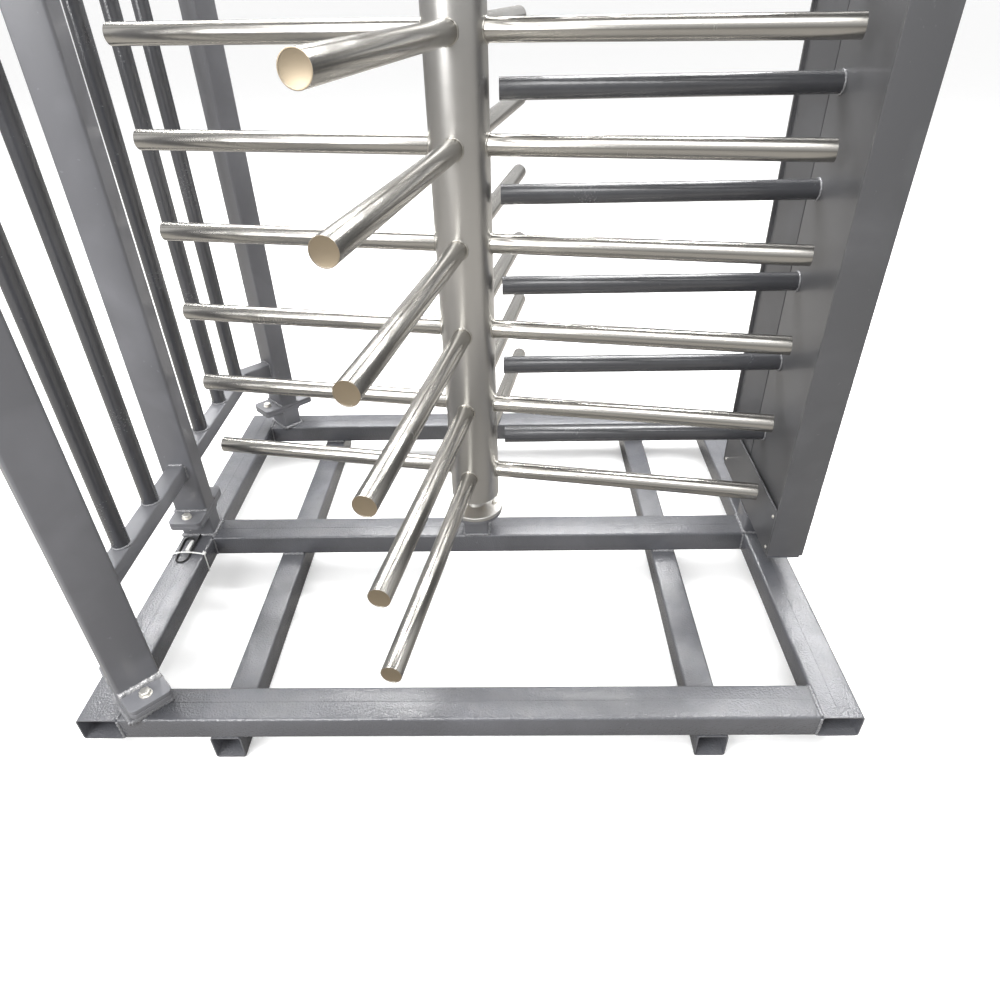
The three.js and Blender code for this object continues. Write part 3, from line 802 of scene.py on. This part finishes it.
# %% Foot welds
WIDE_WELD, POST_WELD, PLATE_WELD, STUB_WELD = 0.0072, 0.0042, 0.0034, 0.0052
half = POST / 2
for place, matrix in foot_place.items():
    bright = place == "front"
    room = "SNE" if place == "middle" else "SNWE"
    thick = WIDE_WELD if bright else POST_WELD
    upper = rectangle_beads(-half, half, post_foot + 0.0008, matrix, thick, "SN")
    under = rectangle_beads(-half, half, plate_low - 0.0008, matrix, PLATE_WELD, "SN")
    base = rectangle_beads(-half, half, stub_low.z + 0.001, matrix, STUB_WELD, room)
    keep(join(upper), f"post_weld_{place}", burnt_weld if bright else weld_paint)
    keep(join(under + base), f"stub_weld_{place}", weld_paint)
print("foot welds laid")

# %% [markdown]
# ## Bolts
# A hex bolt is a six-sided rod whose top corners are chamfered. The top face is raised a little
# and drawn in for the chamfer. The nut is made the same way, and the washers and the bolt's end
# are turned. One bolt is modelled at the origin and copied to each hole.

# %% Hex bolt


def hex_head(across, bottom, height, chamfer):
    """A six-sided head, measured across its corners."""
    head = rod((0, 0, bottom), (0, 0, bottom + height - chamfer), across / 2, 6)
    open_edit(head)
    pick(lambda face: face.normal.z > 0.99)
    bpy.ops.mesh.extrude_region_move(TRANSFORM_OT_translate={"value": (0, 0, chamfer)})
    bpy.ops.transform.resize(value=(0.86, 0.86, 1), center_override=(0, 0, bottom))
    close_edit()
    return soften(head, 0.0004, 2, 25)


def bolt(size, grip):
    """Head above z = 0, nut below -grip."""
    washer = soften(lathe([(size * 1.0, 0), (size * 1.0, size * 0.13)], 40), 0.0003)
    head = hex_head(size * 1.8, size * 0.13, size * 0.62, size * 0.1)
    lower = soften(lathe([(size * 1.0, -grip - size * 0.13), (size * 1.0, -grip)], 40), 0.0003)
    nut = hex_head(size * 1.8, -grip - size * 0.95, size * 0.82, size * 0.1)
    end = soften(lathe([(size * 0.42, -grip - size * 1.4), (size * 0.5, -grip - size * 1.3),
                        (size * 0.5, -grip)], 24), 0.0002)
    return join([washer, head, lower, nut, end])


PLATE_BOLT = 0.012
BOLT_OFFSET = 0.054
grip = post_foot - plate_low
master = bolt(PLATE_BOLT, grip)
for place, matrix in foot_place.items():
    for number, side in enumerate((-1, 1), 1):
        spot = matrix @ Matrix.Translation((0, side * BOLT_OFFSET, post_foot))
        twist = Matrix.Rotation(0.35 * side + matrix.translation.y, 4, "Z")
        keep(copy_of(master, spot @ twist), f"foot_bolt_{place}_{number}", bolt_steel)
discard(master)
print("foot bolts: 6, grip", round(grip, 4))

# %% [markdown]
# ## Side barrier
# A square rail runs straight from the middle post and bends 45 degrees to the corner post. It
# could follow a curve, but a curve thins a square tube at the bend. So a rounded bar is cut in
# the middle and its rings of points are moved onto the mitred path.

# %% Bent rails
BARRIER_RAIL = 0.040
CORNER_POST = Vector((-0.628, 0.557))  # the rear one; the front one mirrors it
RAIL_GAP = 0.0003
post_x = foot_place["middle"].translation.x


def rail_path(side):
    inset = (POST.y / 2 + RAIL_GAP) * math.sqrt(0.5)
    end = Vector((CORNER_POST.x - inset, side * (CORNER_POST.y - inset)))
    bend = Vector((post_x, side * (abs(end.y) - (end.x - post_x))))
    return [Vector((post_x, side * (POST.y / 2 + RAIL_GAP))), bend, end]


def bent_rail(side, top):
    half = BARRIER_RAIL / 2
    rail = block((-half, -1, -half), (half, 1, half), 0.004, ALONG_Y, 4)
    open_edit(rail, "EDGE")
    bpy.ops.mesh.select_all(action="SELECT")
    bpy.ops.mesh.bisect(plane_co=(0, 0, 0), plane_no=ALONG_Y)
    close_edit()
    path = rail_path(side)
    runs = [(b - a).normalized() for a, b in zip(path, path[1:])]
    across = [Vector((run.y, -run.x)) for run in runs]
    for vertex in rail.data.vertices:
        station = round(vertex.co.y) + 1
        first, last = across[max(station - 1, 0)], across[min(station, 1)]
        mitre = (first + last).normalized()
        place = path[station] + mitre * (vertex.co.x / mitre.dot(first))
        vertex.co = (place.x, place.y, top - half + vertex.co.z)
    return soften(rail, 0.0004, 2, 60)


print("rail path", [tuple(round(c, 3) for c in point) for point in rail_path(1)])

# %% [markdown]
# There are four rails: a lower and an upper one in each bay. Beads run round both ends of each,
# at the middle post and at the corner post.

# %% Rails and their welds


def end_beads(place, sideways, top):
    """Four beads round a square rail's end: two across, at its top and bottom, and two down."""
    half = BARRIER_RAIL / 2
    reach = half - 0.003
    beads = [
        bead((*(place + sideways * reach), z), (*(place - sideways * reach), z))
        for z in (top, top - BARRIER_RAIL)
    ]
    for offset in (-half, half):
        foot = place + sideways * offset
        beads.append(bead((*foot, top - 0.003), (*foot, top - BARRIER_RAIL + 0.003)))
    return beads


barrier_beads = []
for bay, side in (("front", -1), ("rear", 1)):
    for level in ("lower", "upper"):
        node = f"barrier_rail_{level}_{bay}"
        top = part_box(node)[1].z
        rail = bent_rail(side, top)
        keep(rail, f"rail_{level}_{bay}", post_paint, "frame", [node])
        start, bend, end = rail_path(side)
        barrier_beads += end_beads(start, Vector((-1, 0)), top)
        barrier_beads += end_beads(end, Vector((1, -side)) * math.sqrt(0.5), top)
keep(join(barrier_beads), "barrier_rail_welds", weld_paint)
print("bent rails: 4")

# %% [markdown]
# The upright bars are round tube with a ring of weld at each end. One bar and one ring are
# made and copied to each place.

# %% Barrier bars
low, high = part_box("barrier_bar_1")
radius = (high.x - low.x) / 2
bar_master = soften(rod((0, 0, low.z), (0, 0, high.z), radius), 0.0008)
ring_master = bead_ring(radius + 0.0006, 0.0023)
rings = []
for number in range(1, 7):
    low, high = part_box(f"barrier_bar_{number}")
    spot = Matrix.Translation(((low.x + high.x) / 2, (low.y + high.y) / 2, 0))
    keep(copy_of(bar_master, spot), f"upright_{number}", bar_paint, "frame",
         [f"barrier_bar_{number}"])
    for z, turn in ((low.z + 0.001, 0.5), (high.z - 0.001, 2.5)):
        twist = Matrix.Rotation(turn * number, 4, "Z")
        rings.append(copy_of(ring_master, spot @ Matrix.Translation((0, 0, z)) @ twist))
keep(join(rings), "upright_welds", weld_paint)
discard(bar_master, ring_master)
print("upright bars: 6")

# %% [markdown]
# ## Column and comb
# The column is folded sheet. Its section is already right in the solid model, so a copy of
# that mesh is merged, its flat faces are cleaned, and every fold gets a small round. Building
# it again from a block would only repeat the same outline.

# %% Folded sheet from a solid


def smoothed_copy(node, width=0.0008, segments=2, angle=30):
    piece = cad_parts[node].copy()
    piece.data = piece.data.copy()
    bpy.context.scene.collection.objects.link(piece)
    for key in list(piece.keys()):
        del piece[key]
    piece.parent = None
    open_edit(piece)
    bpy.ops.mesh.select_all(action="SELECT")
    bpy.ops.mesh.remove_doubles(threshold=0.00001)
    bpy.ops.mesh.dissolve_limited(angle_limit=math.radians(1))
    close_edit()
    return soften(piece, width, segments, angle)


column = smoothed_copy("column_shell", 0.0009, 3)
keep(column, "column", sheet_paint, "frame", ["column_shell"])
stub = smoothed_copy("column_stub", 0.0006)
keep(stub, "column_foot", frame_paint, "frame", ["column_stub"])
print("column:", len(column.data.polygons), "faces")

# %% [markdown]
# The skirt is a low sheet that covers the column's foot. Its top edge is folded over, so the
# block's top face is extruded outwards into a small hem.

# %% Column skirt
low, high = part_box("column_skirt")
skirt = block(low, high)
open_edit(skirt)
bpy.ops.mesh.select_all(action="SELECT")
bpy.ops.mesh.bisect(plane_co=(0, 0, high.z - 0.0025), plane_no=ALONG_Z)
pick(lambda face: face.normal.x < -0.99 and face.calc_center_median().z > high.z - 0.002)
bpy.ops.mesh.extrude_region_move(TRANSFORM_OT_translate={"value": (-0.0012, 0, 0)})
close_edit()
soften(skirt, 0.0004, 3)
keep(skirt, "skirt", sheet_paint, "frame", ["column_skirt"])
print("skirt:", len(skirt.data.polygons), "faces")

# %% [markdown]
# Pan-head screws hold the skirt's two ends. The head is turned in three steps, and two thin
# blocks cut the cross into it. Each copy is turned a little further, as hand-driven screws are.

# %% Skirt screws


def pan_screw(size):
    """Cross-recess pan head, on z = 0."""
    head = lathe([(size, 0), (size * 0.96, size * 0.35), (size * 0.7, size * 0.6),
                  (size * 0.3, size * 0.68)], 32)
    slots = [block((-size * 0.5, -size * 0.08, size * 0.45), (size * 0.5, size * 0.08, size)),
             block((-size * 0.08, -size * 0.5, size * 0.45), (size * 0.08, size * 0.5, size))]
    for slot in slots:
        alone(head)
        apply_modifier(head, "BOOLEAN", object=slot, operation="DIFFERENCE", solver="EXACT")
        discard(slot)
    return soften(head, 0.0001, 1)


SKIRT_SCREWS = [(-0.1775, 0.271), (-0.1775, 0.185), (0.190, 0.190), (0.190, 0.271)]  # Y, Z
screw_master = pan_screw(0.0042)
face_out = Matrix.Rotation(math.radians(-90), 4, "Y")
for number, (y, z) in enumerate(SKIRT_SCREWS, 1):
    spot = Matrix.Translation((low.x, y, z)) @ face_out @ Matrix.Rotation(number * 0.7, 4, "Z")
    keep(copy_of(screw_master, spot), f"skirt_screw_{number}", bolt_steel)
print("skirt screws:", len(SKIRT_SCREWS))

# %% [markdown]
# The foot is welded on three sides. Its outer side is flush with the rail's edge.

# %% Column foot welds
FOOT_HALF_WIDTH = 0.038
low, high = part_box("column_stub")
rail_low, rail_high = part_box("base_rail_right")
feet = rectangle_beads((rail_low.x + 0.001, -FOOT_HALF_WIDTH),
                       (rail_high.x - 0.001, FOOT_HALF_WIDTH), low.z + 0.001, sides="SNW")
keep(join(feet), "column_foot_welds", weld_paint)
print("column foot welds laid")

# %% [markdown]
# Each comb bar is a painted tube with a closed, slightly rounded free end. It is one rod whose
# end face is inset a little for the cap's weld line.

# %% Comb bars
low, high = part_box("comb_bar_1")
radius = (high.z - low.z) / 2
level = (high.z + low.z) / 2
comb_master = rod((low.x, 0, level), (high.x, 0, level), radius)
open_edit(comb_master)
pick(lambda face: face.normal.x < -0.99)
bpy.ops.mesh.inset(thickness=0.0022)
bpy.ops.mesh.extrude_region_move(TRANSFORM_OT_translate={"value": (0.0004, 0, 0)})
close_edit()
soften(comb_master, 0.0011, 3, 50)
root_ring = bead_ring(radius + 0.0004, 0.0022)
root_rings = []
for number in range(1, 10):
    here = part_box(f"comb_bar_{number}")
    lift = (here[0].z + here[1].z) / 2 - level
    keep(copy_of(comb_master, Matrix.Translation((0, 0, lift))), f"comb_{number}", bar_paint,
         "frame", [f"comb_bar_{number}"])
    spot = Matrix.Translation((high.x - 0.0006, 0, level + lift))
    twist = Matrix.Rotation(number * 0.8, 4, "Z")
    root_rings.append(copy_of(root_ring, spot @ Matrix.Rotation(math.pi / 2, 4, "Y") @ twist))
keep(join(root_rings), "comb_welds", weld_paint)
discard(comb_master, root_ring)
print("comb bars: 9")

# %% [markdown]
# ## Pivot
# The rotor stands on a turned flange with a short neck. The flange is bolted to a round grey
# plate on a square stub. A block with rounded edges and a flat turned disc make the base.

# %% Pivot base
low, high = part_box("pivot_stub")
plate_top = high.z
half = Vector((0.030, 0.037))
tube = block((-half.x, -half.y, low.z), (half.x, half.y, plate_top - 0.008),
             TUBE_CORNER, ALONG_Z, 4)
plate = lathe([(high.x, plate_top - 0.009), (high.x, plate_top)], 96)
pivot_base = join([soften(tube, 0.0005), soften(plate, 0.0007)])
keep(pivot_base, "pivot_base", post_paint, "frame", ["pivot_stub"])
print("pivot plate top at", round(plate_top, 4))

# %% [markdown]
# The flange and its pin are turned from one bar. The profile rises in small steps towards the
# pin, which gives the neck its hollow. The bush is a ring on the rotor that runs on the pin:
# its lower face is inset to the pin's size and pushed up to make the bore.

# %% Flange and bush
low_flange, high_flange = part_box("pivot_flange")
flange_radius, pin_radius = high_flange.x, 0.018
face = low_flange.z + 0.010
flange = lathe([
    (flange_radius, low_flange.z), (flange_radius, face - 0.0015), (flange_radius - 0.0015, face),
    (0.030, face), (0.0265, face + 0.0012), (0.0215, face + 0.0018), (pin_radius, face + 0.005),
    (pin_radius, high_flange.z),
], 96)
keep(soften(flange, 0.0004), "pivot_flange_turned", turned_steel, "frame",
     ["pivot_flange"])

bush_low, bush_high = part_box("pivot_bush")
bush = lathe([(bush_high.x - 0.0012, bush_low.z), (bush_high.x, bush_low.z + 0.0012),
              (bush_high.x, bush_high.z)], 64)
open_edit(bush)
pick(lambda part: part.normal.z < -0.99)
bpy.ops.mesh.inset(thickness=bush_high.x - 0.0012 - pin_radius - 0.0003)
bpy.ops.mesh.extrude_region_move(TRANSFORM_OT_translate={"value": (0, 0, 0.030)})
close_edit()
keep(soften(bush, 0.0004), "bush", bush_bronze, "rotor", ["pivot_bush"])
print("pivot: flange radius", round(flange_radius, 3))

# %% [markdown]
# Two bolts of a smaller size hold the flange, one on each side. Beads run round the stub's foot
# and under its plate.

# %% Flange bolts and pivot welds
FLANGE_BOLT, FLANGE_BOLT_X = 0.008, 0.0465
grip = face - (plate_top - 0.009)
bolt_master = bolt(FLANGE_BOLT, grip)
for number, side in enumerate((1, -1), 1):
    spot = Matrix.Translation((side * FLANGE_BOLT_X, 0.002, face))
    twist = Matrix.Rotation(0.5 * number, 4, "Z")
    keep(copy_of(bolt_master, spot @ twist), f"pivot_bolt_{number}", bolt_steel)
discard(bolt_master)
welds = rectangle_beads(-half, half, low.z + 0.001, radius=0.0042)
welds += rectangle_beads(-half, half, plate_top - 0.0095, radius=0.003)
keep(join(welds), "pivot_welds", weld_paint)
print("flange bolts: 2, grip", round(grip, 4))

# %% [markdown]
# ## Rotor
# The column is a large tube with a plug and a shaft at its top. It is turned as one outline,
# and its lower face is inset and pushed up, so that the tube is open where it stands over the
# pivot.

# %% Rotor column
ARM_LEVELS, ARM_REACH, ROTOR_TURN = 10, 0.656, math.radians(-10.3)
ARM_RADIUS, ROTOR_RADIUS, SHAFT_RADIUS = 0.019, 0.057, 0.025
low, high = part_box("rotor_column")
tube_top = high.z - 0.150
column_tube = lathe([
    (ROTOR_RADIUS, low.z), (ROTOR_RADIUS, tube_top - 0.002), (ROTOR_RADIUS - 0.002, tube_top),
    (SHAFT_RADIUS + 0.004, tube_top), (SHAFT_RADIUS, tube_top + 0.004),
    (SHAFT_RADIUS, high.z - 0.002), (SHAFT_RADIUS - 0.002, high.z),
], 128)
open_edit(column_tube)
pick(lambda part: part.normal.z < -0.99)
bpy.ops.mesh.inset(thickness=0.0033)
bpy.ops.mesh.extrude_region_move(TRANSFORM_OT_translate={"value": (0, 0, 0.045)})
close_edit()
soften(column_tube, 0.0006)
keep(column_tube, "rotor_tube", rotor_steel, "rotor", ["rotor_column"])
print("rotor column:", round(high.z - low.z, 3), "m tall")

# %% [markdown]
# One arm is modelled along +X: a tube with a flat cap set a hair below its rim. It is turned
# and lifted to its forty places. A ring of weld follows the column's round wall at its root.

# %% Arms
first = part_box("arm_cross_1")
first_level = (first[0].z + first[1].z) / 2
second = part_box("arm_cross_2")
pitch = (second[0].z + second[1].z) / 2 - first_level
arm_master = rod((ROTOR_RADIUS - 0.006, 0, 0), (ARM_REACH, 0, 0), ARM_RADIUS)
open_edit(arm_master)
pick(lambda part: part.normal.x > 0.99)
bpy.ops.mesh.inset(thickness=0.0016)
bpy.ops.mesh.extrude_region_move(TRANSFORM_OT_translate={"value": (-0.0005, 0, 0)})
close_edit()
soften(arm_master, 0.0006, 3, 50)
arm_master.data.materials.append(arm_steel)
arm_master.data.materials.append(cap_steel)
for part in arm_master.data.polygons:
    part.material_index = int(part.normal.x > 0.9)

weld_master = bead_ring(ARM_RADIUS + 0.0004, 0.0017)
weld_master.data.transform(Matrix.Rotation(math.pi / 2, 4, "Y"))
for vertex in weld_master.data.vertices:
    vertex.co.x += math.sqrt(ROTOR_RADIUS ** 2 - vertex.co.y ** 2)
arm_welds = []
for level in range(ARM_LEVELS):
    for quarter in range(4):
        turn = Matrix.Rotation(ROTOR_TURN + quarter * math.pi / 2, 4, "Z")
        spot = Matrix.Translation((0, 0, first_level + level * pitch)) @ turn
        keep(copy_of(arm_master, spot), f"arm_{level + 1}_{'abcd'[quarter]}", None,
             "rotor", [f"arm_cross_{level + 1}"])
        roll = Matrix.Rotation(math.pi * (level % 2), 4, "X")
        arm_welds.append(copy_of(weld_master, spot @ roll))
keep(join(arm_welds), "arm_weld_rings", weld_steel, "rotor")
discard(arm_master, weld_master)
print("arms:", ARM_LEVELS * 4)

# %% [markdown]
# ## Head
# The head is a folded sheet box that holds the lock. Like the column, it starts from the solid
# model's own outline, and every fold gets a small round.

# %% Head housing
housing = smoothed_copy("head_housing", 0.0009, 2)
keep(housing, "head_box", sheet_paint, "frame", ["head_housing"])
print("head housing:", len(housing.data.polygons), "faces")

# %% [markdown]
# The door hangs on a long hinge at the top, so it falls shut by itself. The panel is a block
# with soft edges and a bored hole for the lock, and the hinge is a row of knuckles on one pin.

# %% Head door
low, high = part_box("head_door")
pin_r = 0.0037
hinge_y, hinge_z = low.y + pin_r, high.z - pin_r
panel_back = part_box("head_housing")[0].y - 0.0003
panel = block((low.x, panel_back - 0.0037, low.z), (high.x, panel_back, hinge_z - 0.001))
lock_centre = Vector((0.380, 0, 2.085))  # the door lock's place in the panel
hole = rod((lock_centre.x, panel_back - 0.02, lock_centre.z),
           (lock_centre.x, panel_back + 0.02, lock_centre.z), 0.0093, 40)
apply_modifier(panel, "BOOLEAN", object=hole, operation="DIFFERENCE", solver="EXACT")
discard(hole)
soften(panel, 0.0008, 3)
KNUCKLES = 12
step = (high.x - low.x) / KNUCKLES
knuckles = [
    soften(rod((low.x + i * step + 0.0004, hinge_y, hinge_z),
               (low.x + (i + 1) * step - 0.0004, hinge_y, hinge_z), pin_r, 24), 0.0003)
    for i in range(KNUCKLES)
]
pin = rod((low.x + 0.0002, hinge_y, hinge_z), (high.x - 0.0002, hinge_y, hinge_z), 0.002, 16)
door = join([panel, *knuckles, pin])
keep(door, "door", sheet_paint, "head_door", ["head_door"])
print("door:", KNUCKLES, "hinge knuckles")

# %% [markdown]
# The door lock is a cam lock: a round face with a key slot outside and a flat cam inside. It
# is turned about Z at the origin, then laid over so that Z points out of the door.

# %% Door lock
lock_low, lock_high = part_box("door_lock")
depth = lock_high.y - lock_low.y
lock_body = lathe([(0.0082, 0), (0.0090, 0.0008), (0.0090, depth - 0.0028),
                   (0.0118, depth - 0.0026), (0.0118, depth - 0.0010), (0.0104, depth)], 48)
key_slot = block((-0.0006, -0.0032, depth - 0.003), (0.0006, 0.0032, depth + 0.002))
apply_modifier(lock_body, "BOOLEAN", object=key_slot, operation="DIFFERENCE", solver="EXACT")
discard(key_slot)
soften(lock_body, 0.0002, 1)
lay_over = Matrix.Translation((lock_centre.x, lock_high.y, lock_centre.z)) @ Matrix.Rotation(
    math.pi / 2, 4, "X")
lock_body.data.transform(lay_over)
cam_y = panel_back + 0.0036
cam = block((lock_centre.x - 0.005, cam_y, lock_centre.z - 0.005),
            (lock_centre.x + 0.0175, cam_y + 0.003, lock_centre.z + 0.005), 0.003, ALONG_Y, 3)
keep(join([lock_body, soften(cam, 0.0003)]), "cam_lock", bolt_steel, "door_lock",
     ["door_lock"])
print("cam lock depth", round(depth, 4))

# %% [markdown]
# ## Lock mechanism
# Inside the head a notched disc turns with the rotor. A solenoid pushes its plunger against a
# pawl, and the pawl's tooth drops into a notch. The disc keeps the solid model's outline, with
# its edges rounded, and a turned collar with a cross screw clamps it to the shaft.

# %% Notched disc
disc = smoothed_copy("index_disc", 0.0006)
keep(disc, "notched_disc", bolt_steel, "rotor", ["index_disc"])
disc_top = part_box("index_disc")[1].z
clamp = lathe([(0.037, disc_top + 0.0004), (0.038, disc_top + 0.0014),
               (0.038, disc_top + 0.015), (0.0366, disc_top + 0.0164)], 64)
clamp_screw = rod((0.012, -0.0365, disc_top + 0.008), (-0.012, -0.0365, disc_top + 0.008),
                  0.0045, 32)
collar = soften(join([clamp, clamp_screw]), 0.0004)
keep(collar, "disc_collar", bolt_steel, "rotor")
print("disc:", len(disc.data.polygons), "faces")

# %% [markdown]
# The pawl also keeps its outline from the solid model. A thin turned disc on its pin stands for
# the circlip that holds it.

# %% Pawl
pawl = smoothed_copy("lock_pawl", 0.0005)
keep(pawl, "pawl", bearing_steel, "lock_pawl", ["lock_pawl"])
PAWL_PIN = Vector((0.090, -0.060, 0))
circlip = lathe([(0.0108, 2.1168), (0.0112, 2.1172), (0.0112, 2.1180)], 40)
circlip.data.transform(Matrix.Translation(PAWL_PIN))
keep(soften(circlip, 0.0002), "pawl_circlip", bolt_steel)
print("pawl pin at", tuple(round(c, 3) for c in PAWL_PIN[:2]))

# %% [markdown]
# The bearing is a turned housing: a wide foot, a waist and a rim round the shaft. Four of the
# pan-head screws, in a larger size, hold its foot.

# %% Top bearing
low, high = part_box("top_bearing")
bearing = lathe([
    (high.x, low.z), (high.x, low.z + 0.009), (high.x - 0.001, low.z + 0.010),
    (0.0440, low.z + 0.0115), (0.0420, low.z + 0.014), (0.0420, high.z - 0.001),
    (0.0410, high.z), (0.0340, high.z), (0.0335, high.z - 0.0015), (0.0265, high.z - 0.0015),
], 80)
soften(bearing, 0.0004)
keep(bearing, "bearing", bearing_steel, "frame", ["top_bearing"])
BOLT_CIRCLE = 0.050
big_screw = pan_screw(0.0055)
for number in range(4):
    angle = math.radians(45 + 90 * number)
    spot = Matrix.Translation((BOLT_CIRCLE * math.cos(angle), BOLT_CIRCLE * math.sin(angle),
                               low.z + 0.0098))
    keep(copy_of(big_screw, spot), f"bearing_screw_{number + 1}", bolt_steel)
discard(big_screw)
print("bearing height", round(high.z - low.z, 3))

# %% [markdown]
# The solenoid is a block with a bore and rows of cooling fins, and its end faces are stepped
# in by two insets. The plunger is turned: a blunt tip, a groove for its clip and a plain stem.

# %% Solenoid
low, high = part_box("solenoid_body")
plunger_low, plunger_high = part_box("solenoid_plunger")
axis_y, axis_z = (plunger_low.y + plunger_high.y) / 2, (plunger_low.z + plunger_high.z) / 2
case = block(low, high, 0.003, ALONG_X, 3)
open_edit(case)
pick(lambda part: abs(part.normal.x) > 0.99)
bpy.ops.mesh.inset(thickness=0.005)
bpy.ops.mesh.inset(thickness=0.005, depth=-0.0006)
close_edit()
bore = rod((low.x - 0.01, axis_y, axis_z), (high.x + 0.01, axis_y, axis_z), 0.0054, 32)
apply_modifier(case, "BOOLEAN", object=bore, operation="DIFFERENCE", solver="EXACT")
discard(bore)
fins = [
    block((x, low.y - 0.0010, low.z + 0.006), (x + 0.002, high.y + 0.0010, high.z - 0.006))
    for x in (low.x + 0.012 + 0.008 * i for i in range(8))
]
keep(soften(join([case, *fins]), 0.0004), "solenoid", black_pvc, "frame",
     ["solenoid_body"])
length = plunger_high.x - plunger_low.x
plunger = lathe([(0.002, 0), (0.005, 0.008), (0.005, 0.020), (0.0044, 0.0205), (0.0044, 0.0225),
                 (0.005, 0.023), (0.005, length)], 40)
plunger.data.transform(Matrix.Translation((plunger_low.x, axis_y, axis_z))
                       @ Matrix.Rotation(math.pi / 2, 4, "Y"))
keep(soften(plunger, 0.0002), "plunger", bearing_steel, "solenoid_plunger",
     ["solenoid_plunger"])
discard(screw_master, *bead_masters.values())
print("plunger length", round(length, 3))

# %% [markdown]
# ## Floor and light
# The floor is a plain pale plane, wide enough to reach the horizon. What bare metal mirrors
# makes its look, so the floor shows the reflections a duller, warmer tone than the camera sees.
# A faint glow for the camera alone keeps the far floor as pale as the near floor.

# %% Floor
floor_material, tree, shader = new_material("floor")
direct = put(tree, "LightPath").outputs["Is Camera Ray"]
FLOOR_SEEN, FLOOR_MIRRORED = (0.88, 0.88, 0.88, 1), (0.26, 0.25, 0.235, 1)
FLOOR_GLOW = 0.22
tree.links.new(mix_colour(tree, direct, FLOOR_MIRRORED, FLOOR_SEEN), shader.inputs["Base Color"])
shader.inputs["Roughness"].default_value = 0.7
shader.inputs["Specular IOR Level"].default_value = 0.2
lift = put(tree, "Math", {0: direct, 1: FLOOR_GLOW}, operation="MULTIPLY")
tree.links.new(lift.outputs[0], shader.inputs["Emission Strength"])
shader.inputs["Emission Color"].default_value = (1, 1, 1, 1)
bpy.ops.object.select_all(action="DESELECT")
bpy.ops.mesh.primitive_plane_add(size=400, location=(0, 0, -0.0005))
floor = settle(bpy.context.object)
floor.name = "floor"
floor.data.materials.append(floor_material)
print("floor laid")

# %% [markdown]
# The room is a ring of bands round the X axis: a dim front wall, a bright front ceiling, one
# dark beam overhead, a bright rear ceiling and a duller rear wall. Round tubes that run along X
# turn these bands into long clean lines. A plain grey world would leave the metal flat.

# %% Studio
world = bpy.data.worlds.new("studio")
bpy.context.scene.world = world
world.use_nodes = True
tree = world.node_tree
tree.nodes.clear()
way = put(tree, "SeparateXYZ", {0: put(tree, "TexCoord").outputs["Generated"]}).outputs
ahead = put(tree, "Math", {0: way["Y"], 1: -1.0}, operation="MULTIPLY")
climb = put(tree, "Math", {0: way["Z"], 1: ahead.outputs[0]}, operation="ARCTAN2")
half_turn = put(tree, "Math", {0: climb.outputs[0], 1: math.pi}, operation="DIVIDE")
bands = put(tree, "ValToRGB", {0: half_turn.outputs[0]})
STUDIO_BANDS = [
    (0.00, 0.50), (0.09, 0.55), (0.13, 0.95), (0.40, 1.0), (0.42, 0.22), (0.455, 0.22),
    (0.48, 0.85), (0.80, 1.0), (0.835, 0.55), (0.93, 0.60), (1.0, 0.80),
]
ramp = bands.color_ramp.elements
while len(ramp) < len(STUDIO_BANDS):
    ramp.new(0.5)
for stop, (place, grey) in zip(ramp, STUDIO_BANDS):
    stop.position = place
    stop.color = (grey, grey, grey, 1)
seen = put(tree, "Mix", {0: put(tree, "LightPath").outputs["Is Camera Ray"],
                         6: bands.outputs["Color"], 7: (1, 1, 1, 1)}, data_type="RGBA")
background = put(tree, "Background", {"Color": seen.outputs[2], "Strength": 1.0})
put(tree, "OutputWorld", {"Surface": background.outputs[0]})
print("bands in the room:", len(STUDIO_BANDS))

# %% [markdown]
# Area lights stand behind and in front of the machine. The rear ones are a wide panel and four
# narrow strips, which the glossy tops of the base mirror as streaks.

# %% Lights


def soft_box(name, place, target, size, power):
    light = bpy.data.lights.new(name, "AREA")
    light.shape = "RECTANGLE"
    light.size, light.size_y = size
    light.energy = power
    lamp = bpy.data.objects.new(name, light)
    aim = (Vector(target) - Vector(place)).to_track_quat("-Z", "Y").to_matrix().to_4x4()
    lamp.matrix_world = Matrix.Translation(place) @ aim
    bpy.context.scene.collection.objects.link(lamp)


soft_box("rear_ceiling", (0.3, 3.0, 4.3), (0, 0, 0.1), (7.4, 2.4), 200)
for number, (y, z) in enumerate([(0.8, 4.6), (1.6, 4.5), (2.4, 4.4), (3.3, 4.0)], 1):
    soft_box(f"rear_strip_{number}", (0.3, y, z), (0, 0, 0.1), (7.6, 0.14), 115)
soft_box("front_ceiling", (-0.4, -2.4, 4.3), (0, 0, 0.4), (4.4, 2.0), 140)
soft_box("front_left", (-2.4, -3.2, 2.2), (0, 0, 0.5), (2.0, 1.8), 110)
bpy.context.scene.view_settings.view_transform = "Standard"
